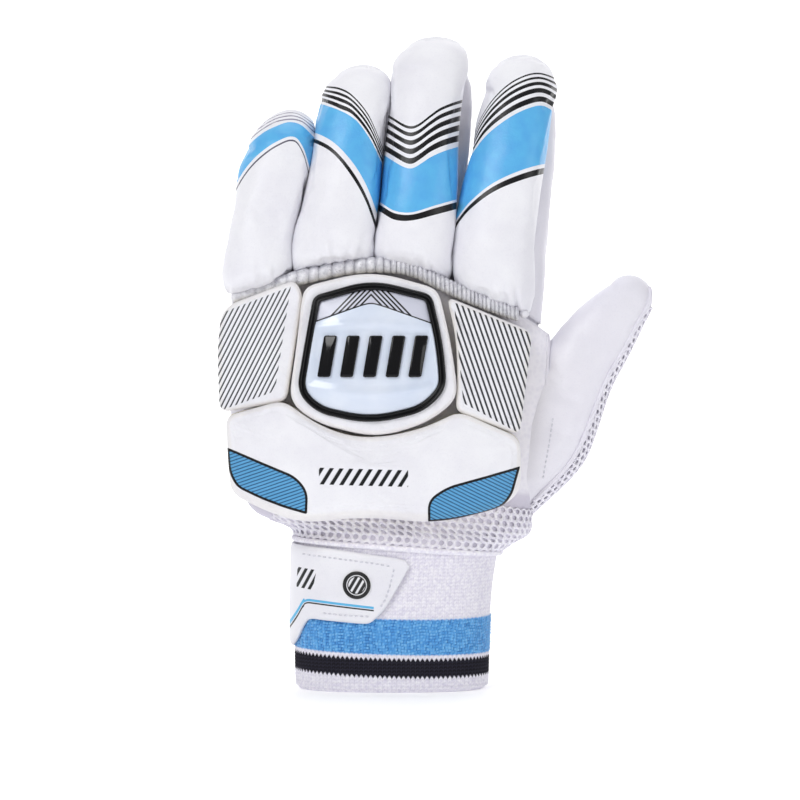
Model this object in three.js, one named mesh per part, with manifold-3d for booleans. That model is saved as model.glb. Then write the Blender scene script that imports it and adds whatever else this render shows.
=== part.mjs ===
// A left-hand cricket batting glove, standing on its knitted cuff with the back of the hand to -Y.
// Millimetres, +Z up, +X towards the thumb. The pieces are worked out from the middle of the cuff's lower
// edge, and the whole glove is then placed with its origin under the middle of its overall size.
import * as THREE from "three";
import { mergeVertices } from "three/addons/utils/BufferGeometryUtils.js";
import Module from "manifold-3d";

const wasm = await Module();
wasm.setup();

// Clearance between pieces, and the soft walls
const GAP = 0.6; // between a pad and what it is sewn to
const SEAM_GAP = 0.3; // between two pieces that meet edge to edge
const CLOTH_WALL = 2.0;
const KNIT_WALL = 3.0;

// Knitted cuff
const CUFF_WIDTH = 85;
const CUFF_DEPTH = 54;
const CUFF_HEIGHT = 62;
const CUFF_SEAM_SLANT = 0.07; // the seam with the hand rises towards the little finger

// Hand, from the cuff's seam to the knuckle line
const HAND_WIDTH = 142;
const HAND_HEIGHT = 124;
const HAND_DEPTH = 54;
const HAND_OFFSET = -4.6; // middle of the hand, from the middle of the cuff
const HAND_LEAN = 0.08; // the hand leans back over the cuff, mm for each mm of height
const KNUCKLE_DROP = 23.5; // how far the knuckle line falls from its top, half a hand's width away
const KNUCKLE_TOP_X = -12; // where the knuckle line is highest
const HAND_POWER = 2.5; // squareness of the hand's section

// Fingers
const FINGER_LENGTH = 102; // the middle finger's roll
const STALL_DEPTH = 26;
const ROLL_DEPTH = 22; // foam roll in front of each finger
const ROLL_SIDE_GAP = 0.7; // between neighbouring rolls
const ROLL_CLEARANCE = 0.84; // between a roll and the strip under it
const ROLL_BACK = 0.3; // share of a roll's depth that lies behind its widest line
const ROLL_FRONT_POWER = 2.4; // squareness of its section in front and behind
const ROLL_BACK_POWER = 3.2;
const ROOT_FADE = 0.4; // share of a finger over which its sections turn from the knuckle line to level
const FINGER_CURL = 17; // how far a fingertip bends towards the palm
const STALL_SHARE = 0.9; // height of a leather stall, as a share of its roll
const STALL_OFFSET = 2.4; // a stall stands this far towards the thumb from its roll

// Knuckle strip, pads, strap and badge
const STRIP_HEIGHT = 4.2;
const STRIP_DEPTH = 9;
const STRIP_FROM = -0.94; // ends of the strip, in shares of half the hand's width
const STRIP_TO = 0.82;
const STRIP_GATHER = 0.86; // size of the strip between two ribs
const STRIP_POWER = 2.8;
const SIDE_PAD_THICKNESS = 13;
const WRIST_PAD_THICKNESS = 15;
const SHIELD_THICKNESS = 15;
const PAD_BEVEL = 3.0;
const PAD_BRIDGE = 1.5; // a pad's stiff back stands this much proud where the hand rounds off
const SEAT_LOW = 0.16; // share of the hand's height below which a pad's seat changes no more
const SEAT_REACH = 0.9; // share of half the hand's width past which the seat goes on straight
const SEAT_FALL = 0.9; // how steeply it falls there, as a share of half the hand's depth
const SHIELD_RIM = 3.6; // pale rim outside the black ring
const RING_WIDTH = 3.3;
const RING_HEIGHT = 2.2;
const DOME_HEIGHT = 1.6;
const DOME_CROWN = 3.4;
const STRAP_THICKNESS = 1.8;
const STRAP_HEIGHT = 30;
const STRAP_TOP = 60; // top of the strap at its free end
const STRAP_END_X = 7; // free end of the strap, on the front of the cuff
const STRAP_TURN = 1.12; // half turns that the strap takes round the cuff
const STRAP_CLEARANCE = 2; // between the strap and the cuff's upper seam
const BADGE_RADIUS = 6.3;
const BADGE_THICKNESS = 1.2;
const BADGE_X = -15.2;
const BADGE_DROP = 0.45; // share of the strap's height that the badge's middle lies below its top
const BADGE_BEVEL = 0.3;
const BADGE_FACE = 0.93; // radius of the badge's flat face, as a share
const BADGE_INNER = 0.55; // radius of a ring that lets the badge follow the strap's curve

// Thumb
const THUMB_LENGTH = 89;
const THUMB_WIDTH = 40;
const THUMB_DEPTH = 30;
const THUMB_ANGLE = 53.8; // degrees above level
const THUMB_BASE_X = 60; // a point on the thumb's axis inside the hand
const THUMB_BASE_Z = 105;
const THUMB_BASE_Y = 5;
const THUMB_REACH_BACK = 7; // how far the thumb's tip lies towards the palm
const THUMB_POWER = 2.3; // squareness of the thumb's section

// Where the side seams split the hand and the thumb, as shares of their depth behind the middle
const HAND_SPLIT = 0.12;
const THUMB_SPLIT = 0.06;

// How finely round forms are cut
const AROUND_HAND = 36;
const AROUND_FINGER = 18;
const AROUND_PAD = 40;
const AROUND_CUFF = 40;
const STRIP_STEPS = 30;
const STRAP_STEPS = 26;

// How far a cutting form runs past what it cuts
const CUT_PAST = 10;
const CUT_CLEAR = 2;

// Tables. Each row is a section, and its lengths are shares of the named sizes above.
// Hand: left and right edges of half the width, front and back of the depth, at shares of the height.
const HAND_SECTIONS = [
  { up: 0.0, left: -0.53, right: 0.715, front: -0.5, back: 0.5 },
  { up: 0.045, left: -0.56, right: 0.8, front: -0.475, back: 0.51 },
  { up: 0.09, left: -0.76, right: 0.9, front: -0.462, back: 0.52 },
  { up: 0.16, left: -0.84, right: 0.925, front: -0.462, back: 0.52 },
  { up: 0.35, left: -0.91, right: 0.97, front: -0.46, back: 0.5 },
  { up: 0.58, left: -0.93, right: 1.04, front: -0.43, back: 0.41 },
  { up: 0.8, left: -0.93, right: 1.065, front: -0.39, back: 0.29 },
  { up: 1.0, left: -0.92, right: 1.035, front: -0.34, back: 0.22 },
];
// Fingers: place u of the roll at the knuckles and its width, in shares of half the hand's width, and its
// height and how far its tip leans to the thumb, in shares of FINGER_LENGTH.
const FINGER_SHARES = [
  { name: "little", u: -0.758, wide: 0.417, tall: 0.784, tilt: 0.11 },
  { name: "ring", u: -0.292, wide: 0.501, tall: 0.882, tilt: 0.127 },
  { name: "middle", u: 0.207, wide: 0.49, tall: 1.0, tilt: 0.103 },
  { name: "index", u: 0.704, wide: 0.499, tall: 1.0, tilt: 0.127 },
];
// Roll: width and depth at shares of the height, and how far the tip folds back, of the roll's depth.
const ROLL_SECTIONS = [
  { up: 0.0, wide: 0.84, deep: 0.5, fold: 0.0 },
  { up: 0.025, wide: 0.95, deep: 0.78, fold: 0.0 },
  { up: 0.08, wide: 1.0, deep: 0.95, fold: 0.0 },
  { up: 0.2, wide: 1.0, deep: 1.0, fold: 0.0 },
  { up: 0.38, wide: 0.985, deep: 0.98, fold: 0.0 },
  { up: 0.55, wide: 0.965, deep: 0.97, fold: 0.0 },
  { up: 0.7, wide: 0.935, deep: 0.93, fold: 0.0 },
  { up: 0.81, wide: 0.88, deep: 0.86, fold: 0.0 },
  { up: 0.89, wide: 0.78, deep: 0.76, fold: 0.0 },
  { up: 0.95, wide: 0.6, deep: 0.6, fold: 0.1 },
  { up: 0.985, wide: 0.37, deep: 0.4, fold: 0.2 },
];
// Stall: width of the roll and depth at shares of the stall's height, and squareness of the section.
const STALL_SECTIONS = [
  { up: 0.0, wide: 1.0, deep: 1.0, power: 4.0 },
  { up: 0.2, wide: 0.99, deep: 0.97, power: 3.4 },
  { up: 0.45, wide: 0.96, deep: 0.93, power: 3.0 },
  { up: 0.7, wide: 0.92, deep: 0.88, power: 2.6 },
  { up: 0.86, wide: 0.82, deep: 0.8, power: 2.4 },
  { up: 0.95, wide: 0.6, deep: 0.62, power: 2.2 },
];
// Thumb: sideways shift and width of THUMB_WIDTH, depth of THUMB_DEPTH, at shares of THUMB_LENGTH.
const THUMB_SECTIONS = [
  { along: -0.28, shift: 0.0, wide: 0.86, deep: 0.92 },
  { along: -0.1, shift: 0.0, wide: 0.95, deep: 0.98 },
  { along: 0.1, shift: 0.0, wide: 0.98, deep: 1.0 },
  { along: 0.28, shift: 0.03, wide: 0.9, deep: 0.96 },
  { along: 0.47, shift: 0.085, wide: 0.82, deep: 0.9 },
  { along: 0.66, shift: 0.095, wide: 0.74, deep: 0.82 },
  { along: 0.82, shift: 0.085, wide: 0.6, deep: 0.7 },
  { along: 0.92, shift: 0.06, wide: 0.43, deep: 0.55 },
  { along: 0.975, shift: 0.03, wide: 0.25, deep: 0.34 },
];
// Cuff: edges of half the width and the depth at shares of the cuff's height.
const CUFF_SECTIONS = [
  { up: 0.0, left: -0.965, right: 0.95, deep: 0.95 },
  { up: 0.03, left: -0.99, right: 0.985, deep: 0.985 },
  { up: 0.3, left: -1.0, right: 1.0, deep: 1.0 },
  { up: 0.7, left: -1.0, right: 1.03, deep: 1.0 },
  { up: 1.0, left: -0.99, right: 1.09, deep: 1.0 },
];
// Pads: corners in shares of half the hand's width and of its height, and the corner's rounding in mm.
const SHIELD_CORNERS = [
  { u: -0.07, v: 0.974, round: 22 },
  { u: -0.472, v: 0.912, round: 6 },
  { u: -0.572, v: 0.502, round: 16 },
  { u: -0.4, v: 0.428, round: 30 },
  { u: 0.0, v: 0.396, round: 60 },
  { u: 0.3, v: 0.432, round: 30 },
  { u: 0.476, v: 0.512, round: 14 },
  { u: 0.448, v: 0.77, round: 60 },
  { u: 0.335, v: 0.912, round: 10 },
];
const LEFT_PAD_CORNERS = [
  { u: -0.505, v: 0.938, round: 5 },
  { u: -0.965, v: 0.836, round: 9 },
  { u: -1.005, v: 0.64, round: 60 },
  { u: -0.985, v: 0.458, round: 5 },
  { u: -0.592, v: 0.522, round: 6 },
];
const RIGHT_PAD_CORNERS = [
  { u: 0.915, v: 0.742, round: 5 },
  { u: 0.392, v: 0.9, round: 4 },
  { u: 0.47, v: 0.77, round: 40 },
  { u: 0.498, v: 0.62, round: 40 },
  { u: 0.47, v: 0.48, round: 4 },
  { u: 0.845, v: 0.402, round: 5 },
];
const WRIST_PAD_CORNERS = [
  { u: -0.6, v: 0.512, round: 10 },
  { u: -0.965, v: 0.448, round: 3 },
  { u: -0.93, v: 0.2, round: 16 },
  { u: -0.6, v: 0.085, round: 16 },
  { u: -0.36, v: 0.083, round: 30 },
  { u: 0.0, v: 0.12, round: 60 },
  { u: 0.3, v: 0.083, round: 30 },
  { u: 0.838, v: 0.16, round: 16 },
  { u: 0.838, v: 0.372, round: 8 },
  { u: 0.49, v: 0.475, round: 8 },
  { u: 0.28, v: 0.4, round: 20 },
  { u: 0.0, v: 0.368, round: 60 },
  { u: -0.41, v: 0.4, round: 30 },
];

// Smooth value of one column of a table at a place along it.
function columnAt(rows, along, column, place) {
  const last = rows.length - 1;
  const at = THREE.MathUtils.clamp(place, rows[0][along], rows[last][along]);
  let i = 0;
  while (i < last - 1 && at > rows[i + 1][along]) i++;
  const [a, b] = [rows[i], rows[i + 1]];
  const [before, after] = [rows[Math.max(i - 1, 0)], rows[Math.min(i + 2, last)]];
  const span = b[along] - a[along];
  const slopeA = (b[column] - before[column]) / (b[along] - before[along]);
  const slopeB = (after[column] - a[column]) / (after[along] - a[along]);
  const t = (at - a[along]) / span;
  const [t2, t3] = [t * t, t * t * t];
  return (
    (2 * t3 - 3 * t2 + 1) * a[column] +
    (t3 - 2 * t2 + t) * span * slopeA +
    (3 * t2 - 2 * t3) * b[column] +
    (t3 - t2) * span * slopeB
  );
}

// One point of a superellipse of unit half axes.
function squircle(angle, power) {
  const [c, s] = [Math.cos(angle), Math.sin(angle)];
  const share = 2 / power;
  return [Math.sign(c) * Math.abs(c) ** share, Math.sign(s) * Math.abs(s) ** share];
}

// Points of a ring, from a function of the angle.
function ring(count, pointAt) {
  return Array.from({ length: count }, (_, i) => pointAt((i / count) * 2 * Math.PI));
}

function middleOf(points) {
  const sum = points.reduce((s, p) => s.add(p), new THREE.Vector3());
  return sum.divideScalar(points.length);
}

// A closed solid as a manifold, from rings of as many points each. Its ends are fans to a middle point.
// With closedLoop the last ring joins the first one.
function loft(rings, { start, end, closedLoop = false } = {}) {
  const count = rings[0].length;
  const points = rings.flat();
  const faces = [];
  const quads = closedLoop ? rings.length : rings.length - 1;
  for (let k = 0; k < quads; k++) {
    const [low, high] = [k * count, ((k + 1) % rings.length) * count];
    for (let i = 0; i < count; i++) {
      const j = (i + 1) % count;
      faces.push([low + i, low + j, high + j], [low + i, high + j, high + i]);
    }
  }
  if (!closedLoop) {
    const last = (rings.length - 1) * count;
    const first = points.push(start ?? middleOf(rings[0])) - 1;
    const top = points.push(end ?? middleOf(rings.at(-1))) - 1;
    for (let i = 0; i < count; i++) {
      const j = (i + 1) % count;
      faces.push([first, j, i], [top, last + i, last + j]);
    }
  }
  const volume = faces.reduce((sum, [a, b, c]) => {
    const cross = new THREE.Vector3().crossVectors(points[b], points[c]);
    return sum + points[a].dot(cross);
  }, 0);
  if (volume < 0) faces.forEach((f) => f.reverse());
  return solidFrom(points.flatMap((p) => p.toArray()), faces.flat());
}

function solidFrom(positions, indices) {
  const geometry = new THREE.BufferGeometry();
  geometry.setAttribute("position", new THREE.Float32BufferAttribute(positions, 3));
  geometry.setIndex(indices);
  return solidOf(geometry);
}

// A three.js geometry as a manifold solid.
function solidOf(geometry) {
  const bare = geometry.clone();
  bare.deleteAttribute("normal");
  bare.deleteAttribute("uv");
  const merged = mergeVertices(bare, 1e-4);
  return new wasm.Manifold(
    new wasm.Mesh({
      numProp: 3,
      vertProperties: new Float32Array(merged.attributes.position.array),
      triVerts: new Uint32Array(merged.index.array),
    }),
  );
}

// A manifold solid as a three.js geometry.
function geometryOf(solid) {
  const made = solid.getMesh();
  const geometry = new THREE.BufferGeometry();
  geometry.setAttribute("position", new THREE.BufferAttribute(made.vertProperties, 3));
  geometry.setIndex(new THREE.BufferAttribute(made.triVerts, 1));
  geometry.computeVertexNormals();
  return geometry;
}

// The hand's own surfaces
const halfHand = HAND_WIDTH / 2;
const seamZ = (x) => CUFF_HEIGHT - CUFF_SEAM_SLANT * x;
const knuckleTopZ = CUFF_HEIGHT + HAND_HEIGHT;
const knuckleZ = (x) => knuckleTopZ - KNUCKLE_DROP * ((x - KNUCKLE_TOP_X) / halfHand) ** 2;
const leanY = (z) => HAND_LEAN * Math.max(0, z - CUFF_HEIGHT);
const panelX = (u) => HAND_OFFSET + u * halfHand;
const panelZ = (v) => CUFF_HEIGHT + v * HAND_HEIGHT;

// The hand's section at a share of its height.
function handSection(up) {
  const column = (name) => columnAt(HAND_SECTIONS, "up", name, up);
  return {
    left: HAND_OFFSET + column("left") * halfHand,
    right: HAND_OFFSET + column("right") * halfHand,
    front: column("front") * HAND_DEPTH,
    back: column("back") * HAND_DEPTH,
  };
}

// A ring of the hand's skin, moved inwards by a wall's thickness.
function handRing(up, inset, stretch = 0) {
  const { left, right, front, back } = handSection(up);
  const mid = (left + right) / 2;
  const deep = (front + back) / 2;
  return ring(AROUND_HAND, (angle) => {
    const [c, s] = squircle(angle, HAND_POWER);
    const x = mid + c * ((right - left) / 2 - inset);
    const z = seamZ(x) + up * (knuckleZ(x) - seamZ(x)) + stretch;
    return new THREE.Vector3(x, deep + s * ((back - front) / 2 - inset) + leanY(z), z);
  });
}

// The hand's filled form, from below its lower edge to above its upper edge where it is a cutter.
function handForm(inset, overshoot) {
  const rings = HAND_SECTIONS.map(({ up }) => handRing(up, inset));
  if (overshoot) {
    rings.unshift(handRing(0, inset, -overshoot));
    rings.push(handRing(1, inset, overshoot));
  }
  return loft(rings);
}

// Y of the back of the hand, where the pads are seated, carried on past its rounded edges.
function dorsalY(x, z) {
  const up = THREE.MathUtils.clamp((z - seamZ(x)) / (knuckleZ(x) - seamZ(x)), SEAT_LOW, 1);
  const { left, right, front, back } = handSection(up);
  const u = (x - (left + right) / 2) / ((right - left) / 2);
  const inner = THREE.MathUtils.clamp(u, -SEAT_REACH, SEAT_REACH);
  const deep = (back - front) / 2;
  const arch = (share) => (1 - Math.abs(share) ** HAND_POWER) ** (1 / HAND_POWER);
  const beyond = Math.abs(u - inner) * deep * SEAT_FALL - PAD_BRIDGE * Math.abs(inner) ** 3;
  return (front + back) / 2 - deep * arch(inner) + beyond + leanY(z);
}

// Fingers
const fingers = FINGER_SHARES.map(({ name, u, wide, tall, tilt }) => ({
  name,
  x: panelX(u),
  width: wide * halfHand,
  height: tall * FINGER_LENGTH,
  lean: tilt * FINGER_LENGTH,
}));
const knuckleBack = HAND_SECTIONS.at(-1).back * HAND_DEPTH;
const fingerY = (rise) =>
  knuckleBack - STALL_DEPTH / 2 + leanY(knuckleTopZ + rise) + FINGER_CURL * (rise / FINGER_LENGTH) ** 2;

// Height of a finger's point: along the knuckle line at the root, level higher up.
function fingerZ(finger, x, rise) {
  const fade = THREE.MathUtils.clamp(1 - rise / (ROOT_FADE * finger.height), 0, 1) ** 2;
  return fade * knuckleZ(x) + (1 - fade) * knuckleZ(finger.x) + rise;
}

// The foam roll on the back of one finger.
function fingerRoll(finger) {
  const lift = STRIP_HEIGHT / 2 + ROLL_CLEARANCE;
  const height = finger.height - lift;
  const sideways = (up) => finger.x + finger.lean * up;
  const rings = ROLL_SECTIONS.map(({ up, wide, deep, fold }) => {
    const rise = lift + up * height;
    const plane = fingerY(rise) - STALL_DEPTH / 2 - GAP + fold * ROLL_DEPTH;
    const half = (finger.width * wide - ROLL_SIDE_GAP) / 2;
    const backBulge = ROLL_BACK * ROLL_DEPTH * deep;
    return ring(AROUND_FINGER, (angle) => {
      const front = Math.sin(angle) < 0;
      const [c, s] = squircle(angle, front ? ROLL_FRONT_POWER : ROLL_BACK_POWER);
      const x = sideways(up) + c * half;
      const y = plane - backBulge + s * (front ? ROLL_DEPTH * deep - backBulge : backBulge);
      return new THREE.Vector3(x, y, fingerZ(finger, x, rise));
    });
  });
  const bottom = middleOf(rings[0]);
  bottom.z = fingerZ(finger, bottom.x, lift);
  const top = middleOf(rings.at(-1));
  top.z = fingerZ(finger, finger.x, finger.height);
  return loft(rings, { start: bottom, end: top });
}

// A finger's leather stall: a tube closed at its tip, open towards the hand.
function fingerStall(finger, next) {
  const height = finger.height * STALL_SHARE;
  const pitch = next ? next.x - finger.x : finger.width;
  const wallAt = (inset) => {
    const rings = STALL_SECTIONS.map(({ up, wide, deep, power }) => {
      const rise = SEAM_GAP + up * height;
      const away = STALL_OFFSET + finger.lean * (rise / finger.height);
      const half = (Math.min(pitch, finger.width) * wide) / 2 - SEAM_GAP - inset;
      const y = fingerY(rise);
      return ring(AROUND_FINGER, (angle) => {
        const [c, s] = squircle(angle, power);
        const x = finger.x + away + c * half;
        const depth = (STALL_DEPTH * deep) / 2 - inset;
        return new THREE.Vector3(x, y + s * depth, fingerZ(finger, x, rise));
      });
    });
    const tip = middleOf(rings.at(-1));
    tip.z += (height * (1 - STALL_SECTIONS.at(-1).up)) - inset;
    const below = new THREE.Vector3(0, 0, -CUT_PAST);
    if (inset) rings.unshift(rings[0].map((p) => p.clone().add(below)));
    return loft(rings, { end: tip });
  };
  return wallAt(0).subtract(wallAt(CLOTH_WALL));
}

// Thumb
const thumbAngle = THREE.MathUtils.degToRad(THUMB_ANGLE);
const thumbAxis = new THREE.Vector3(Math.cos(thumbAngle), 0, Math.sin(thumbAngle));
const thumbSide = new THREE.Vector3(-Math.sin(thumbAngle), 0, Math.cos(thumbAngle));

function thumbForm(inset) {
  const centreAt = (along, shift) => {
    const y = THUMB_BASE_Y + THUMB_REACH_BACK * Math.max(0, along) ** 1.5;
    return new THREE.Vector3(THUMB_BASE_X, y, THUMB_BASE_Z)
      .addScaledVector(thumbAxis, along * THUMB_LENGTH)
      .addScaledVector(thumbSide, shift * THUMB_WIDTH);
  };
  const rings = THUMB_SECTIONS.map(({ along, shift, wide, deep }) => {
    const centre = centreAt(along, shift);
    return ring(AROUND_FINGER, (angle) => {
      const [c, s] = squircle(angle, THUMB_POWER);
      const point = centre.clone().addScaledVector(thumbSide, c * ((THUMB_WIDTH * wide) / 2 - inset));
      point.y += s * ((THUMB_DEPTH * deep) / 2 - inset);
      return point;
    });
  });
  const tip = centreAt(1, THUMB_SECTIONS.at(-1).shift).addScaledVector(thumbAxis, -inset);
  return loft(rings, { end: tip });
}

// The half space behind (or in front of) a sheet that follows a shape's middle, as a cutter.
const CUTTER = 400;
function behind(sheetY, slices) {
  const rings = slices.map((z) => {
    const y = sheetY(z);
    return [
      new THREE.Vector3(-CUTTER, y, z),
      new THREE.Vector3(CUTTER, y, z),
      new THREE.Vector3(CUTTER, y + CUTTER, z),
      new THREE.Vector3(-CUTTER, y + CUTTER, z),
    ];
  });
  return loft(rings);
}
const handSlices = [-CUT_PAST, CUFF_HEIGHT, knuckleTopZ + CUT_PAST];
const thumbSlices = [-CUT_PAST, THUMB_BASE_Z, THUMB_BASE_Z + THUMB_LENGTH, knuckleTopZ + THUMB_LENGTH];
const handSplitY = (z) => HAND_DEPTH * HAND_SPLIT + leanY(z);
const thumbSplitY = (z) => {
  const share = Math.max(0, z - THUMB_BASE_Z) / THUMB_LENGTH;
  return THUMB_BASE_Y + THUMB_REACH_BACK * share + THUMB_DEPTH * THUMB_SPLIT;
};

// Cuff
function cuffRing(up, inset, height) {
  const column = (name) => columnAt(CUFF_SECTIONS, "up", name, up);
  const [left, right] = [column("left"), column("right")].map((share) => (share * CUFF_WIDTH) / 2);
  return ring(AROUND_CUFF, (angle) => {
    const [c, s] = squircle(angle, HAND_POWER);
    const x = (left + right) / 2 + c * ((right - left) / 2 - inset);
    const y = s * ((column("deep") * CUFF_DEPTH) / 2 - inset);
    const top = seamZ(x) - SEAM_GAP;
    return new THREE.Vector3(x, y, height ?? up * top);
  });
}
function knitCuff() {
  const outer = loft(CUFF_SECTIONS.map(({ up }) => cuffRing(up, 0)));
  const inner = CUFF_SECTIONS.slice(1).map(({ up }) => cuffRing(up, KNIT_WALL));
  const below = cuffRing(CUFF_SECTIONS[1].up, KNIT_WALL, -CUT_PAST);
  const above = cuffRing(1, KNIT_WALL, CUFF_HEIGHT + CUT_PAST);
  return outer.subtract(loft([below, ...inner, above]));
}

// The closure strap: a band round the little-finger side of the cuff, with a pointed free end in front.
function strapPlace(angle, height, away) {
  const up = height / CUFF_HEIGHT;
  const column = (name) => columnAt(CUFF_SECTIONS, "up", name, up);
  const [left, right] = [column("left"), column("right")].map((share) => (share * CUFF_WIDTH) / 2);
  const [c, s] = squircle(angle, HAND_POWER);
  const x = (left + right) / 2 + c * ((right - left) / 2 + away);
  return new THREE.Vector3(x, s * ((column("deep") * CUFF_DEPTH) / 2 + away), height);
}
const angleOfX = (x) => {
  const share = Math.sign(x) * Math.abs(x / (CUFF_WIDTH / 2)) ** (HAND_POWER / 2);
  return -Math.acos(THREE.MathUtils.clamp(share, -1, 1));
};
// Strap: lower and upper edges at shares of the way from its free end to its sewn end.
const STRAP_SECTIONS = [
  { way: 0.0, low: 0.88, high: 1.0 },
  { way: 0.05, low: 0.42, high: 1.02 },
  { way: 0.1, low: 0.0, high: 1.04 },
  { way: 0.33, low: 0.04, high: 1.13 },
  { way: 0.44, low: -0.3, high: 1.16 },
  { way: 0.55, low: -0.5, high: 1.12 },
  { way: 0.75, low: -0.4, high: 1.02 },
  { way: 1.0, low: -0.4, high: 0.95 },
];
const strapStart = angleOfX(STRAP_END_X);
const strapTurn = -STRAP_TURN * Math.PI;
function wristStrap() {
  const rings = [];
  const floor = STRAP_TOP - STRAP_HEIGHT;
  for (let i = 0; i <= STRAP_STEPS; i++) {
    const way = i / STRAP_STEPS;
    const angle = strapStart + way * strapTurn;
    const [low, high] = ["low", "high"].map(
      (edge) => floor + STRAP_HEIGHT * columnAt(STRAP_SECTIONS, "way", edge, way),
    );
    const topped = (z) => Math.min(z, seamZ(strapPlace(angle, z, 0).x) - STRAP_CLEARANCE);
    const [inside, outside] = [GAP, GAP + STRAP_THICKNESS];
    rings.push([
      strapPlace(angle, topped(low), inside),
      strapPlace(angle, topped(high), inside),
      strapPlace(angle, topped(high), outside),
      strapPlace(angle, topped(low), outside),
    ]);
  }
  return loft(rings);
}

// A round badge on the strap's front, following its curve.
function strapBadge() {
  const z = STRAP_TOP - STRAP_HEIGHT * BADGE_DROP;
  const disc = (radius, away) =>
    ring(20, (angle) => {
      const x = BADGE_X + radius * Math.cos(angle);
      const place = strapPlace(angleOfX(x), z + radius * Math.sin(angle), away);
      return place.setX(x);
    });
  const seat = GAP + STRAP_THICKNESS + GAP;
  const face = seat + BADGE_THICKNESS;
  return loft([
    disc(BADGE_RADIUS * BADGE_INNER, seat),
    disc(BADGE_RADIUS, seat),
    disc(BADGE_RADIUS, face - BADGE_BEVEL),
    disc(BADGE_RADIUS * BADGE_FACE, face),
    disc(BADGE_RADIUS * BADGE_INNER, face),
  ]);
}

// A closed outline in x and z through rounded corners, evenly sampled.
function outlineOf(corners) {
  const places = corners.map(({ u, v }) => new THREE.Vector2(panelX(u), panelZ(v)));
  const shape = new THREE.Path();
  places.forEach((corner, i) => {
    const before = places.at(i - 1);
    const after = places[(i + 1) % places.length];
    const [into, out] = [before.clone().sub(corner), after.clone().sub(corner)];
    const reach = Math.min(corners[i].round, into.length() / 2.05, out.length() / 2.05);
    const first = corner.clone().add(into.setLength(reach));
    const second = corner.clone().add(out.setLength(reach));
    if (i === 0) shape.moveTo(first.x, first.y);
    else shape.lineTo(first.x, first.y);
    shape.quadraticCurveTo(corner.x, corner.y, second.x, second.y);
  });
  shape.closePath();
  return shape.getSpacedPoints(AROUND_PAD).slice(0, AROUND_PAD);
}

// The outline moved inwards along its normals.
function insetOutline(outline, distance) {
  const count = outline.length;
  const turning = THREE.ShapeUtils.area(outline) > 0 ? 1 : -1;
  return outline.map((p, i) => {
    const along = outline[(i + 1) % count].clone().sub(outline.at(i - 1)).normalize();
    const inward = new THREE.Vector2(-along.y, along.x).multiplyScalar(turning);
    return p.clone().addScaledVector(inward, distance);
  });
}

// The outline drawn in towards its middle.
function drawnIn(outline, share) {
  const middle = outline.reduce((s, p) => s.add(p), new THREE.Vector2()).divideScalar(outline.length);
  return outline.map((p) => middle.clone().lerp(p, share));
}

// A pad or plate: an outline, a seat given as Y at (x, z), and a thickness towards -Y with a rounded edge.
function plate(outline, seat, thickness, bevel, crown = 0) {
  const inner = crown ? [0.68, 0.34] : [0.6];
  const layer = (loop, away) => loop.map((p) => new THREE.Vector3(p.x, seat(p.x, p.y) - away, p.y));
  const edge = insetOutline(outline, bevel);
  const base = insetOutline(outline, Math.min(bevel, thickness) / 3);
  const crowned = (share) => thickness + crown * (1 - share * share);
  const pole = (away) => {
    const [point] = layer([drawnIn(outline, 0)[0]], away);
    return point;
  };
  const rings = [
    layer(drawnIn(base, 0.34), 0),
    layer(drawnIn(base, 0.68), 0),
    layer(base, 0),
    layer(outline, bevel / 3),
    layer(outline, thickness - bevel),
    layer(insetOutline(outline, bevel * 0.3), thickness - bevel * 0.3),
    layer(edge, crowned(1)),
    ...inner.map((share) => layer(drawnIn(edge, share), crowned(share))),
  ];
  return loft(rings, { start: pole(0), end: pole(crowned(0)) });
}

const padSeat = (x, z) => dorsalY(x, z) - GAP;
const shieldFace = (x, z) => padSeat(x, z) - SHIELD_THICKNESS - SEAM_GAP;
const shieldOutline = outlineOf(SHIELD_CORNERS);
const ringOutline = insetOutline(shieldOutline, SHIELD_RIM);
const domeOutline = insetOutline(shieldOutline, SHIELD_RIM + RING_WIDTH + SEAM_GAP);

// The raised black ring on the shield's face.
function shieldRing() {
  const inner = insetOutline(ringOutline, RING_WIDTH);
  const profile = [
    { across: 0, out: 0 },
    { across: 0, out: 0.62 },
    { across: 0.28, out: 1 },
    { across: 0.72, out: 1 },
    { across: 1, out: 0.62 },
    { across: 1, out: 0 },
  ];
  const rings = ringOutline.map((outer, i) =>
    profile.map(({ across, out }) => {
      const p = outer.clone().lerp(inner[i], across);
      return new THREE.Vector3(p.x, shieldFace(p.x, p.y) - out * RING_HEIGHT, p.y);
    }),
  );
  return loft(rings, { closedLoop: true });
}

// The ribbed strip along the knuckle line, between the rolls and the pads.
function knuckleStrip() {
  const [from, to] = [panelX(STRIP_FROM), panelX(STRIP_TO)];
  const rings = [];
  for (let i = 0; i <= STRIP_STEPS; i++) {
    const x = THREE.MathUtils.lerp(from, to, i / STRIP_STEPS);
    const rib = i % 2 ? 1 : STRIP_GATHER;
    const [z, y] = [knuckleZ(x), padSeat(x, knuckleZ(x) - STRIP_HEIGHT)];
    const section = ring(8, (angle) => {
      const [c, s] = squircle(angle, STRIP_POWER);
      const out = y - (STRIP_DEPTH * rib * (1 - s)) / 2;
      return new THREE.Vector3(x, out, z + (c * STRIP_HEIGHT * rib) / 2);
    });
    rings.push(section);
  }
  return loft(rings);
}

// The whole glove
const COLOURS = { white: 0xf0eff4, silver: 0xa9a8b2, black: 0x17181c, blue: 0x6cb4ea, pale: 0xdfe4f1 };
const finish = (colour, roughness, metalness = 0) =>
  new THREE.MeshStandardMaterial({ color: COLOURS[colour], roughness, metalness });
const glove = new THREE.Group();
function add(name, solid, material) {
  const mesh = new THREE.Mesh(geometryOf(solid), material);
  mesh.name = name;
  glove.add(mesh);
}

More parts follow.
